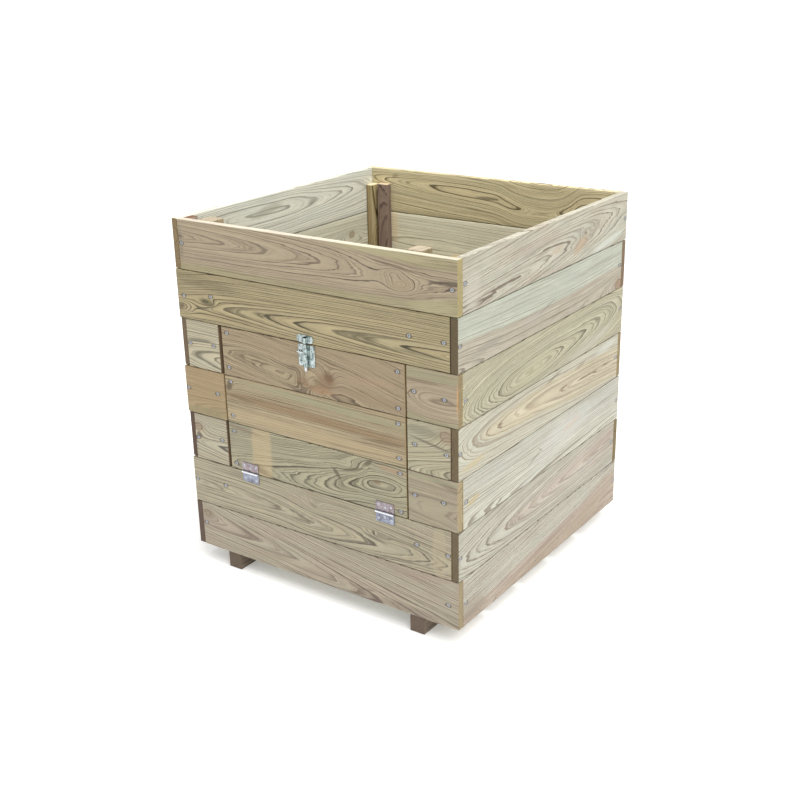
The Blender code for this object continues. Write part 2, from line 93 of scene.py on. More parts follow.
# ---------------------------------------------------------------- node trees
class Net:
    """A material's node tree, written as expressions."""

    def __init__(self, name):
        self.mat = bpy.data.materials.new(name)
        self.mat.use_nodes = True
        self.nt = self.mat.node_tree
        self.nt.nodes.clear()
        self.out = self.nt.nodes.new("ShaderNodeOutputMaterial")
        self.bsdf = self.nt.nodes.new("ShaderNodeBsdfPrincipled")
        self.nt.links.new(self.bsdf.outputs[0], self.out.inputs[0])

    def node(self, kind, **props):
        made = self.nt.nodes.new(kind)
        for key, value in props.items():
            setattr(made, key, value)
        return made

    def put(self, socket, value):
        if isinstance(value, bpy.types.NodeSocket):
            self.nt.links.new(value, socket)
        else:
            socket.default_value = value

    def math(self, op, *args, clamp=False):
        made = self.node("ShaderNodeMath", operation=op, use_clamp=clamp)
        for i, a in enumerate(args):
            self.put(made.inputs[i], a)
        return made.outputs[0]

    def add(self, *args):
        total = args[0]
        for a in args[1:]:
            total = self.math("ADD", total, a)
        return total

    def sub(self, a, b):
        return self.math("SUBTRACT", a, b)

    def mul(self, *args):
        total = args[0]
        for a in args[1:]:
            total = self.math("MULTIPLY", total, a)
        return total

    def vec(self, x, y, z):
        made = self.node("ShaderNodeCombineXYZ")
        for i, a in enumerate((x, y, z)):
            self.put(made.inputs[i], a)
        return made.outputs[0]

    def affine(self, vector, scale, offset=(0, 0, 0)):
        made = self.node("ShaderNodeVectorMath", operation="MULTIPLY_ADD")
        self.put(made.inputs[0], vector)
        made.inputs[1].default_value = scale
        made.inputs[2].default_value = offset
        return made.outputs[0]

    def split(self, vector):
        made = self.node("ShaderNodeSeparateXYZ")
        self.put(made.inputs[0], vector)
        return made.outputs[0], made.outputs[1], made.outputs[2]

    def noise(self, vector, detail=2.0, rough=0.5, distortion=0.0):
        made = self.node("ShaderNodeTexNoise", noise_dimensions="3D")
        self.put(made.inputs["Vector"], vector)
        made.inputs["Scale"].default_value = 1.0
        made.inputs["Detail"].default_value = detail
        made.inputs["Roughness"].default_value = rough
        made.inputs["Distortion"].default_value = distortion
        return made.outputs["Fac"]

    def noise1(self, w, detail=0.0):
        made = self.node("ShaderNodeTexNoise", noise_dimensions="1D")
        self.put(made.inputs["W"], w)
        made.inputs["Scale"].default_value = 1.0
        made.inputs["Detail"].default_value = detail
        return made.outputs["Fac"]

    def hash1(self, w):
        made = self.node("ShaderNodeTexWhiteNoise", noise_dimensions="1D")
        self.put(made.inputs["W"], w)
        return made.outputs["Value"]

    def step(self, value, low, high, to_low=0.0, to_high=1.0, smooth=True):
        made = self.node("ShaderNodeMapRange", interpolation_type="SMOOTHSTEP" if smooth else "LINEAR")
        self.put(made.inputs["Value"], value)
        self.put(made.inputs["From Min"], low)
        self.put(made.inputs["From Max"], high)
        self.put(made.inputs["To Min"], to_low)
        self.put(made.inputs["To Max"], to_high)
        return made.outputs["Result"]

    def mix(self, fac, a, b, blend="MIX"):
        made = self.node("ShaderNodeMix", data_type="RGBA", blend_type=blend)
        self.put(made.inputs[0], fac)
        self.put(made.inputs[6], a)
        self.put(made.inputs[7], b)
        return made.outputs[2]

    def shade(self, colour, factor):
        """colour times a grey factor."""
        made = self.node("ShaderNodeVectorMath", operation="SCALE")
        self.put(made.inputs[0], colour)
        self.put(made.inputs["Scale"], factor)
        return made.outputs[0]

    def curve(self, value, points):
        """A smooth curve through (0..1, value) points."""
        ys = [p[1] for p in points]
        low, high = min(ys), max(ys)
        if len(points) < 2 or high - low < 1e-6:
            return float(ys[0])
        made = self.node("ShaderNodeFloatCurve")
        made.inputs["Factor"].default_value = 1.0
        self.put(made.inputs["Value"], value)
        table = made.mapping.curves[0]
        spots = [(min(1.0, max(0.0, p[0])), (p[1] - low) / (high - low)) for p in points]
        while len(table.points) < len(spots):
            table.points.new(0.5, 0.5)
        for spot, place in zip(table.points, spots):
            spot.location = place
            spot.handle_type = "AUTO_CLAMPED"
        made.mapping.update()
        return self.math("MULTIPLY_ADD", made.outputs[0], high - low, low)

    def centred(self, value, amplitude):
        """noise 0..1 to -amplitude..amplitude"""
        return self.math("MULTIPLY_ADD", value, 2.0 * amplitude, -amplitude)


# ---------------------------------------------------------------- pine
DEFAULT = dict(
    sap=(196, 186, 146),  # early wood of the sapwood
    heart=(196, 172, 142),  # early wood of the heartwood
    late=(112, 100, 78),
    end=(122, 104, 80),
    heart_r=0.0,
    w=7.0,
    q=0.05,
    warp=4.5,
    fine=1.1,
    strength=0.75,
    heart_strength=0.55,
    knots=(),
    stains=(),
    blotch=0.12,
    speckle=0.20,
    lines=0.42,
    dots_at=0.60,
    painted_top_highlight=0.0,
    holes=(),
    edge_dirt_and_shade=0.25,
    tint=(186, 190, 158),
    tint_amount=0.25,
    D=((0.0, 30.0), (1.0, 12.0)),
    Y=((0.0, 0.0), (1.0, 0.0)),
    inner=False,
    tone_and_light=(0.81, 0.83, 0.90),
    thin=0.12,
)


def pine(name, length, height, thick, seed, spec):
    """Plain-sawn treated softwood.  The growth rings are surfaces round a wandering pith,
    so the faces, the edges and the end grain all belong to the same log.
    Local axes in millimetres: x along the grain from 0, y across, z out of the outer face."""
    s = dict(DEFAULT)
    s.update(spec)
    g = Net(name)
    co = g.node("ShaderNodeTexCoord").outputs["Object"]
    p = g.affine(co, (1000.0,) * 3)
    x, y, z = g.split(p)
    share = g.math("DIVIDE", x, length)
    sx, sy = seed * 37.13 % 91.0, seed * 17.77 % 53.0

    def field(fx, fy, fz, detail, rough=0.5, k=0.0):
        return g.noise(g.affine(p, (1.0 / fx, 1.0 / fy, 1.0 / fz), (sx + k, sy - k, sx - sy + 2.0 * k)), detail, rough)

    # the ring field
    depth = g.curve(share, s["D"])
    pith_y = g.curve(share, s["Y"])
    dz = g.add(g.sub(0.0, depth) if not isinstance(depth, float) else -depth, g.add(z, thick)) if s["inner"] else g.add(z, depth)
    dy = g.sub(y, pith_y)
    radius = g.math("SQRT", g.add(g.mul(dy, dy), g.mul(dz, dz)))
    large = field(380.0, 34.0, 34.0, 1.0, k=3.0)
    medium = field(95.0, 11.0, 11.0, 2.0, 0.55, k=11.0)
    radius = g.add(radius, g.centred(large, s["warp"]), g.centred(medium, s["fine"]))
    knot_masks = []
    for kx, ky, kr, bulge, gx, gy in s["knots"]:
        ax = g.math("DIVIDE", g.sub(x, kx), gx)
        ay = g.math("DIVIDE", g.sub(y, ky), gy)
        far = g.add(g.mul(ax, ax), g.mul(ay, ay))
        radius = g.add(radius, g.mul(g.math("EXPONENT", g.sub(0.0, far)), bulge))
        if kr > 0.0:
            bx = g.math("DIVIDE", g.sub(x, kx), kr * 1.35)
            by = g.math("DIVIDE", g.sub(y, ky), kr)
            near = g.math("SQRT", g.add(g.mul(bx, bx), g.mul(by, by)))
            near = g.add(near, g.centred(field(14.0, 9.0, 9.0, 2.0, k=23.0), 0.22))
            knot_masks.append((near, kr))
    # ring count, closer together outwards
    t = g.math("DIVIDE", radius, s["w"])
    t = g.add(t, g.mul(t, t, s["q"]))
    t = g.add(t, g.mul(g.noise1(g.add(g.mul(t, 0.41), seed * 3.7)), 1.6))
    ring = g.math("FLOOR", t)
    f = g.math("FRACT", t)
    luck = g.hash1(g.add(ring, seed * 13.7))
    rise = g.step(f, g.math("MULTIPLY_ADD", luck, 0.30 - 0.5 * s["thin"], 0.30 + s["thin"]), 0.90)
    rise = g.mul(rise, rise)
    fall = g.step(f, 0.93, 1.0, 1.0, 0.0)
    late = g.mul(rise, fall)

    # colour
    heart_r = s["heart_r"]
    early = s["sap"]
    if heart_r > 0:
        sapness = g.step(g.add(radius, g.centred(medium, 2.0)), heart_r - 3.5, heart_r + 3.5)
        early = g.mix(sapness, srgb(*s["heart"]), srgb(*s["sap"]))
        power = g.step(sapness, 0.0, 1.0, s["heart_strength"], s["strength"], smooth=False)
    else:
        early = g.mix(g.mul(luck, 0.35), srgb(*s["sap"]), srgb(*s["heart"]))
        power = s["strength"]
    cloud = field(170.0, 38.0, 38.0, 2.0, 0.5, k=31.0)
    early = g.mix(g.mul(g.step(cloud, 0.42, 0.72), s["tint_amount"]), early, srgb(*s["tint"]))
    patch = field(75.0, 22.0, 22.0, 3.0, 0.6, k=41.0)
    fibre = field(48.0, 0.9, 0.9, 3.0, 0.65, k=53.0)
    streak = field(110.0, 2.6, 2.6, 3.0, 0.6, k=59.0)
    smear = field(16.0, 6.0, 6.0, 3.0, 0.7, k=61.0)
    grit = field(3.4, 1.5, 1.5, 2.0, 0.6, k=71.0)
    spot = g.node("ShaderNodeCombineXYZ")
    g.put(spot.inputs[0], g.mul(x, 1.0 / 260.0))
    g.put(spot.inputs[1], g.mul(radius, 0.62))
    g.put(spot.inputs[2], seed * 2.71)
    lines = g.noise(spot.outputs[0], 3.0, 0.62)
    shade = g.add(
        1.0,
        g.centred(patch, s["blotch"]),
        g.centred(fibre, 0.13),
        g.centred(streak, 0.17),
        g.centred(smear, 0.10),
        g.centred(grit, 0.11),
        g.centred(luck, 0.05),
    )
    colour = g.shade(early, shade)
    # the fade of each ring from early to late wood, then the thin dark line itself
    colour = g.mix(g.mul(g.step(f, 0.0, 0.95, smooth=False), 0.24, power), colour, srgb(*s["late"]))
    amount = g.mul(late, power, g.math("MULTIPLY_ADD", luck, 0.95, 0.45), clampless(g, patch))
    colour = g.mix(g.math("MINIMUM", amount, 1.0), colour, srgb(*s["late"]))
    thread = g.mul(g.step(lines, 0.50, 0.66), g.step(patch, 0.20, 0.60, 0.45, 1.1))
    colour = g.mix(g.mul(thread, s["lines"]), colour, srgb(*s["late"]))
    # resin ducts and short dark flecks along the grain
    fleck = g.step(field(7.0, 0.55, 0.55, 1.0, k=67.0), 0.70, 0.80)
    colour = g.mix(g.mul(fleck, 0.34), colour, srgb(*s["late"]))

    for near, kr in knot_masks:
        core = g.step(near, 0.96, 1.06, 1.0, 0.0)
        rings = g.math("MULTIPLY_ADD", g.math("SINE", g.mul(near, kr * 3.3)), 0.5, 0.5)
        inside = g.mix(g.mul(rings, 0.55), srgb(*s.get("knot", (168, 128, 88))), srgb(*s.get("knot_dark", (104, 76, 52))))
        colour = g.mix(g.mul(core, s.get("knot_amount", 0.85)), colour, inside)
        rim = g.mul(g.step(near, 0.84, 1.0), g.step(near, 1.02, 1.22, 1.0, 0.0))
        colour = g.mix(g.mul(rim, s.get("rim", 0.6)), colour, srgb(92, 72, 54))
        halo = g.step(near, 1.0, 2.6, 1.0, 0.0)
        colour = g.mix(g.mul(halo, 0.22), colour, srgb(158, 124, 88))

    for stain in s["stains"]:
        ux, uy, rx, ry, turn, tone, amount, soft = stain
        cx, cy = g.sub(x, ux), g.sub(y, uy)
        ca, sa = math.cos(math.radians(turn)), math.sin(math.radians(turn))
        ax = g.math("DIVIDE", g.add(g.mul(cx, ca), g.mul(cy, sa)), rx)
        ay = g.math("DIVIDE", g.sub(g.mul(cy, ca), g.mul(cx, sa)), ry)
        d = g.math("SQRT", g.add(g.mul(ax, ax), g.mul(ay, ay)))
        d = g.add(d, g.centred(field(26.0, 7.0, 7.0, 3.0, 0.6, k=ux * 0.11), 0.30 * soft))
        mask = g.step(d, 1.0 - 0.5 * soft, 1.0 + 0.35 * soft, 1.0, 0.0)
        colour = g.mix(g.mul(mask, amount), colour, srgb(*tone))

    dots = g.mul(g.step(field(3.0, 2.0, 2.0, 2.0, 0.6, k=83.0), s["dots_at"], s["dots_at"] + 0.10), g.step(smear, 0.40, 0.62))
    colour = g.mix(g.mul(dots, s["speckle"]), colour, srgb(*s.get("dirt", (104, 88, 72))))
    # painted shade: a dark ring round each screw hole, for the shade at the countersink's edge
    for hx, hy in s["holes"]:
        cx, cy = g.sub(x, hx), g.sub(y, hy)
        d = g.math("SQRT", g.add(g.mul(cx, cx, 0.35), g.mul(cy, cy)))
        d = g.add(d, g.centred(smear, 2.0))
        colour = g.mix(g.step(d, 4.3, 6.2, 0.62, 0.0), colour, srgb(84, 74, 62))

    # grime, and painted shade, in the arrises and where the board meets its neighbours
    to_edge = g.sub(height / 2.0, g.math("ABSOLUTE", y))
    grime_and_shade = g.mul(g.step(to_edge, 0.0, 3.2, 1.0, 0.0), g.step(patch, 0.35, 0.75), s["edge_dirt_and_shade"])
    colour = g.mix(grime_and_shade, colour, srgb(104, 92, 72))

    # the board's overall tone, which on the inner back and left boards is also painted light
    tone_and_light = g.node("ShaderNodeVectorMath", operation="MULTIPLY")
    g.put(tone_and_light.inputs[0], colour)
    tone_and_light.inputs[1].default_value = s["tone_and_light"]
    colour = tone_and_light.outputs[0]

    # painted highlight: the board's top edge lightened towards cream-white, standing in for the light on the rim
    if s["painted_top_highlight"]:
        rim = g.step(g.sub(height / 2.0, y), 0.7, 2.4, 1.0, 0.0)
        colour = g.mix(g.mul(rim, s["painted_top_highlight"]), colour, srgb(228, 220, 206))

    # end grain: rough sawn, darker, with the rings showing as arcs
    from_end = g.math("MINIMUM", x, g.sub(length, x))
    is_end = g.step(from_end, 0.9, 1.5, 1.0, 0.0)
    pores = field(2.0, 2.2, 2.2, 3.0, 0.7, k=79.0)
    saw = g.noise(g.affine(p, (0.02, 0.9, 0.12), (sx, sy, 4.0)), 2.0, 0.6)
    end = g.mix(g.mul(late, 0.55), srgb(*s["end"]), srgb(60, 48, 36))
    end = g.shade(end, g.add(1.0, g.centred(pores, 0.22), g.centred(saw, 0.20), g.centred(patch, 0.12)))
    colour = g.mix(is_end, colour, end)

    g.put(g.bsdf.inputs["Base Color"], colour)
    rough = g.add(0.66, g.centred(fibre, 0.10), g.mul(late, -0.10), g.mul(is_end, 0.16))
    g.put(g.bsdf.inputs["Roughness"], rough)
    g.bsdf.inputs["Specular IOR Level"].default_value = 0.32
    high = g.add(g.mul(late, 0.10), g.mul(fibre, 0.16), g.mul(patch, 0.10), g.mul(is_end, pores, 0.5))
    bump = g.node("ShaderNodeBump")
    bump.inputs["Strength"].default_value = 0.55
    bump.inputs["Distance"].default_value = 0.0011
    g.put(bump.inputs["Height"], high)
    g.put(g.bsdf.inputs["Normal"], bump.outputs[0])
    return g.mat


def clampless(g, patch):
    """Late wood fades in and out along the board."""
    return g.step(patch, 0.25, 0.62, 0.62, 1.12)


# ---------------------------------------------------------------- board meshes
def rnd(seed, *at):
    """Smooth noise, about -1..1."""
    return noise.noise(Vector((at[0] + seed * 7.31, (at[1] if len(at) > 1 else 0.0) + seed * 3.17, (at[2] if len(at) > 2 else 0.0) - seed * 5.03)))


def plank_mesh(length, height, thick, seed, radius=1.5, step=6.0, wane=(0.0, 0.0), ragged=(0.0, 0.0), split=0.0):
    """A sawn board as a swept rounded section: eased arrises of uneven radius, edges that
    wander by a few tenths, small knocks along the outer arrises and rough sawn ends."""
    arc, faces_n, edges_n = 3, 9, 2
    slots = []  # (kind, corner or side, share)
    corners = ((1, 0), (-1, 0), (-1, 1), (1, 1))  # (y sign, 0 outer or 1 inner)
    for c in range(4):
        for k in range(arc + 1):
            slots.append(("arc", c, k / arc))
        count = faces_n if c % 2 == 0 else edges_n
        for k in range(1, count + 1):
            slots.append(("run", c, k / (count + 1.0)))
    n = len(slots)
    stations = max(6, int(length / step))
    xs = [0.0, radius] + [length * i / stations for i in range(1, stations)] + [length - radius, length]
    xs = sorted(set(round(v, 4) for v in xs if v <= length))
    bm = bmesh.new()
    rings = []
    total = len(xs)
    for i, x in enumerate(xs):
        cap = i in (0, total - 1)
        which = 0 if x < length / 2 else 1
        inset = radius * 0.75 if cap else 0.0
        edge_in = [
            0.10 + 0.16 * (1 + rnd(seed, x / 95.0, 1.0)) + 0.07 * (1 + rnd(seed, x / 13.0, 2.0)),
            0.10 + 0.16 * (1 + rnd(seed, x / 95.0, 5.0)) + 0.07 * (1 + rnd(seed, x / 13.0, 6.0)),
        ]
        top, bottom = height / 2 - edge_in[0] - inset, -height / 2 + edge_in[1] + inset
        radii = []
        for c in range(4):
            r = radius * (1.0 + 0.45 * rnd(seed, x / 31.0, 11.0 + c)) * (0.55 if cap else 1.0)
            knock = max(0.0, rnd(seed, x / 9.0, 21.0 + 3 * c) - 0.52) * (6.0 if c < 2 else 3.0)
            radii.append(max(0.5, r + (0.0 if cap else knock)))
        ring = []
        near_end = min(x, length - x)
        for kind, c, share in slots:
            ys, inner = corners[c]
            if kind == "arc":
                r = radii[c]
                start = (0, 90, 180, 270)[c]
                angle = math.radians(start + 90 * share)
                cy = (top - r) if ys > 0 else (bottom + r)
                cz = -r - inset if inner == 0 else -thick + r + inset
                yy, zz = cy + r * math.cos(angle), cz + r * math.sin(angle)
            elif c == 0:  # outer face, from +y to -y
                yy = (top - radii[0]) + ((bottom + radii[1]) - (top - radii[0])) * share
                zz = -inset
            elif c == 1:  # lower edge
                yy = bottom
                zz = (-radii[1] - inset) + ((-thick + radii[2] + inset) - (-radii[1] - inset)) * share
            elif c == 2:  # inner face
                yy = (bottom + radii[2]) + ((top - radii[3]) - (bottom + radii[2])) * share
                zz = -thick + inset
            else:
                yy = top
                zz = (-thick + radii[3] + inset) + ((-radii[0] - inset) - (-thick + radii[3] + inset)) * share
            sink = 0.06 + 0.10 * (1 + rnd(seed, x / 160.0, yy / 45.0, 31.0))
            if zz > -thick / 2:
                zz -= sink * (0.4 if kind == "arc" else 1.0)
                if wane[which] > 0.0 and near_end < wane[which] * 1.6:
                    bite = wane[which] * max(0.0, 0.55 + 0.75 * rnd(seed, yy / 13.0, 41.0) + 0.3 * rnd(seed, yy / 4.0, 43.0))
                    zz -= bite * (1.0 - near_end / (wane[which] * 1.6))
            else:
                zz += sink * (0.4 if kind == "arc" else 1.0)
            xx = x
            if cap:
                rough = 0.25 + ragged[which]
                push = rough * (0.5 + 0.5 * rnd(seed, yy / 5.0, zz / 5.0, 51.0 + which * 9)) + 0.5 * ragged[which] * max(0.0, rnd(seed, yy / 17.0, 57.0))
                xx = x + push if which == 0 else x - push
            ring.append(bm.verts.new((xx * MM, yy * MM, zz * MM)))
        rings.append(ring)
    for low, high in zip(rings, rings[1:]):
        for j in range(n):
            k = (j + 1) % n
            bm.faces.new((low[j], low[k], high[k], high[j]))
    for ring, which in ((rings[0], 0), (rings[-1], 1)):
        middle = Vector((0, 0, 0))
        for v in ring:
            middle += v.co
        middle /= len(ring)
        inner = []
        for v in ring:
            q = middle.lerp(v.co, 0.82)
            q.x = v.co.x * 0.4 + middle.x * 0.6
            inner.append(bm.verts.new(q))
        for j in range(n):
            k = (j + 1) % n
            bm.faces.new((ring[j], ring[k], inner[k], inner[j]))
        bm.faces.new(inner)
    bmesh.ops.recalc_face_normals(bm, faces=bm.faces[:])
    mesh = bpy.data.meshes.new("plank")
    bm.to_mesh(mesh)
    bm.free()
    return mesh


def turned(bm, profile, at, axis, sides, phase=0.5):
    """A closed turned solid from (distance along the axis, radius) pairs, in millimetres."""
    direction = Vector(axis).normalized()
    turn = Vector((0, 0, 1)).rotation_difference(direction).to_matrix()
    rings = []
    for along, r in profile:
        ring = []
        for i in range(sides):
            a = 2 * math.pi * (i + phase) / sides
            ring.append(bm.verts.new((Vector(at) + turn @ Vector((r * math.cos(a), r * math.sin(a), along))) * MM))
        rings.append(ring)
    for low, high in zip(rings, rings[1:]):
        for i in range(sides):
            j = (i + 1) % sides
            bm.faces.new((low[i], low[j], high[j], high[i]))
    bm.faces.new(tuple(reversed(rings[0])))
    bm.faces.new(tuple(rings[-1]))


def object_of(name, bm_or_mesh):
    if isinstance(bm_or_mesh, bmesh.types.BMesh):
        bmesh.ops.recalc_face_normals(bm_or_mesh, faces=bm_or_mesh.faces[:])
        mesh = bpy.data.meshes.new(name)
        bm_or_mesh.to_mesh(mesh)
        bm_or_mesh.free()
    else:
        mesh = bm_or_mesh
        mesh.name = name
    obj = bpy.data.objects.new(name, mesh)
    bpy.context.scene.collection.objects.link(obj)
    return obj


def carve(obj, cutter, operation="DIFFERENCE"):
    """Applies a boolean with a helper object, which is then removed."""
    mod = obj.modifiers.new("Cut", "BOOLEAN")
    mod.operation = operation
    mod.solver = "EXACT"
    mod.object = cutter
    bpy.context.view_layer.update()
    made = bpy.data.meshes.new_from_object(obj.evaluated_get(bpy.context.evaluated_depsgraph_get()))
    obj.modifiers.clear()
    old = obj.data
    obj.data = made
    bpy.data.meshes.remove(old)
    bpy.data.objects.remove(cutter, do_unlink=True)


def shade(obj, angle=32.0):
    obj.data.shade_smooth()
    obj.data.set_sharp_from_angle(angle=math.radians(angle))


def frame_matrix(origin, lx, ly, lz):
    m = Matrix.Identity(4)
    for i, axis in enumerate((lx, ly, lz)):
        for r in range(3):
            m[r][i] = axis[r]
    m.translation = origin
    return m


X, Y, Z = Vector((1, 0, 0)), Vector((0, 1, 0)), Vector((0, 0, 1))
WAYS = {  # the local x, y and z axes of a piece, by how it lies
    "front": (X, Z, -Y),
    "right": (Y, Z, X),
    "back": (-X, Z, Y),
    "left": (-Y, Z, -X),
    "post_right": (Z, -Y, X),  # upright, its finished face to the right
    "post_front": (Z, -X, -Y),
    "floor": (X, Y, Z),
    "runner": (Y, Z, X),
}


def lie(node, way):
    """(matrix, length, height, thickness) of a piece that fills a CAD node's box."""
    lo, hi = node_box(node)
    lx, ly, lz = WAYS[way]
    middle = (lo + hi) / 2
    size = hi - lo
    dims = [abs(sum(size[i] * axis[i] for i in range(3))) for axis in (lx, ly, lz)]
    origin = middle - lx * dims[0] / 2 + lz * dims[2] / 2
    return frame_matrix((origin + SHIFT) * MM, lx, ly, lz), dims


def along(node, way, u):
    """Box-frame coordinate along a wall to the local x of a board."""
    lo, hi = node_box(node)
    if way == "front":
        return u - lo.x
    if way == "back":
        return hi.x - u
    if way == "right":
        return u - lo.y
    if way == "left":
        return hi.y - u
    return u


# ---------------------------------------------------------------- screws
def screw_template():
    """A countersunk wood screw with a cross recess: its head's rim lies 0.4 mm below z = 0."""
    bm = bmesh.new()
    sides = 24

    def loop(points, z):
        return [bm.verts.new((px, py, z)) for px, py in points]

    def circle(r):
        return [(r * math.cos(2 * math.pi * i / sides), r * math.sin(2 * math.pi * i / sides)) for i in range(sides)]

    def cross(arm, half):
        quarter = [(arm, -half), (arm, half), (half, half)]
        out = []
        for turn in range(4):
            c, s = (1, 0, -1, 0)[turn], (0, 1, 0, -1)[turn]
            out += [(px * c - py * s, px * s + py * c) for px, py in quarter]
        return out

    def skin(low, high):
        n = len(low)
        for i in range(n):
            bm.faces.new((low[i], low[(i + 1) % n], high[(i + 1) % n], high[i]))

    rings = [loop(circle(r), z) for z, r in (
        (-22.0, 0.4), (-17.0, 1.5), (-3.0, 1.55), (-2.4, 1.9), (-0.75, 3.80), (-0.5, 3.95), (-0.36, 3.7), (-0.30, 2.5))]
    bm.faces.new(rings[0])
    for low, high in zip(rings, rings[1:]):
        skin(low, high)
    mouth = loop(cross(2.15, 0.70), -0.28)
    floor_of_recess = loop(cross(1.35, 0.44), -2.0)
    skin(mouth, floor_of_recess)
    bm.faces.new(floor_of_recess)
    bm.verts.index_update()
    edges = []
    for ring in (rings[-1], mouth):
        for i, v in enumerate(ring):
            edges.append(bm.edges.get((v, ring[(i + 1) % len(ring)])))
    bmesh.ops.bridge_loops(bm, edges=edges)
    bmesh.ops.scale(bm, vec=(MM,) * 3, verts=bm.verts[:])
    head = object_of("screw_template", bm)
    shade(head, 40)
    return head


def screws(name, body, matrix, places, template, material, scale=1.0, seed=0):
    """All of a piece's screws, each turned to its own angle."""
    bm = bmesh.new()
    source = bmesh.new()
    source.from_mesh(template.data)
    base = [v.co.copy() for v in source.verts]
    faces = [[v.index for v in f.verts] for f in source.faces]
    for i, (px, py, pz) in enumerate(places):
        spin = Matrix.Rotation((seed * 1.7 + i * 2.399) % math.pi, 3, "Z")
        tilt = Matrix.Rotation(0.05 * math.sin(seed + i * 1.3), 3, "X")
        made = [bm.verts.new(tilt @ (spin @ (c * scale)) + Vector((px, py, pz)) * MM) for c in base]
        for face in faces:
            bm.faces.new([made[k] for k in face])
    source.free()
    obj = object_of(name, bm)
    obj.data.materials.append(material)
    obj.matrix_world = matrix
    shade(obj, 40)
    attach(obj, body)
    return obj


def screw_metal(name, mouth, light, dull):
    """Zinc-plated steel; mouth is the height of the recess's mouth in the piece's own frame."""
    g = Net(name)
    co = g.node("ShaderNodeTexCoord").outputs["Object"]
    p = g.affine(co, (1000.0,) * 3)
    x, y, z = g.split(p)
    mottled = g.noise(g.affine(p, (0.9, 0.9, 0.9)), 3.0, 0.6)
    tone = g.mix(mottled, srgb(*light), srgb(*dull))
    # painted shade: the recess darkens towards its floor
    painted_recess_shade = g.step(z, mouth - 0.60, mouth - 0.15, 1.0, 0.0)
    tone = g.mix(g.mul(painted_recess_shade, 0.85), tone, srgb(40, 36, 34))
    g.put(g.bsdf.inputs["Base Color"], tone)
    g.put(g.bsdf.inputs["Roughness"], g.add(0.30, g.centred(mottled, 0.10)))
    g.bsdf.inputs["Metallic"].default_value = 0.25
    return g.mat


# ---------------------------------------------------------------- looks of each board
# Positions are box-frame: u along the wall, v the height.  Local numbers are made from them.
TAN = dict(sap=(200, 188, 148), heart=(198, 178, 150), late=(118, 100, 82), tint=(204, 176, 150), end=(140, 124, 92))
OLIVE = dict(sap=(196, 182, 140), heart=(188, 168, 122), late=(98, 90, 62), tint=(178, 176, 132), end=(122, 108, 78))
GREEN = dict(sap=(200, 196, 166), heart=(186, 182, 148), late=(116, 112, 88), tint=(176, 186, 158), end=(126, 110, 80))
PALE = dict(sap=(212, 204, 176), heart=(204, 190, 158), late=(128, 120, 100), tint=(190, 196, 172), end=(118, 100, 78))
PEACH = dict(sap=(206, 186, 146), heart=(204, 172, 134), late=(142, 116, 84), tint=(210, 178, 134), end=(150, 128, 92))
BROWN = dict(sap=(196, 184, 160), heart=(182, 158, 134), late=(112, 94, 80), tint=(170, 150, 132), end=(104, 84, 68))
TONES = {"pine_tan": TAN, "pine_olive": OLIVE, "pine_green": GREEN, "pine_pale": PALE, "pine_peach": PEACH, "pine_brown": BROWN}

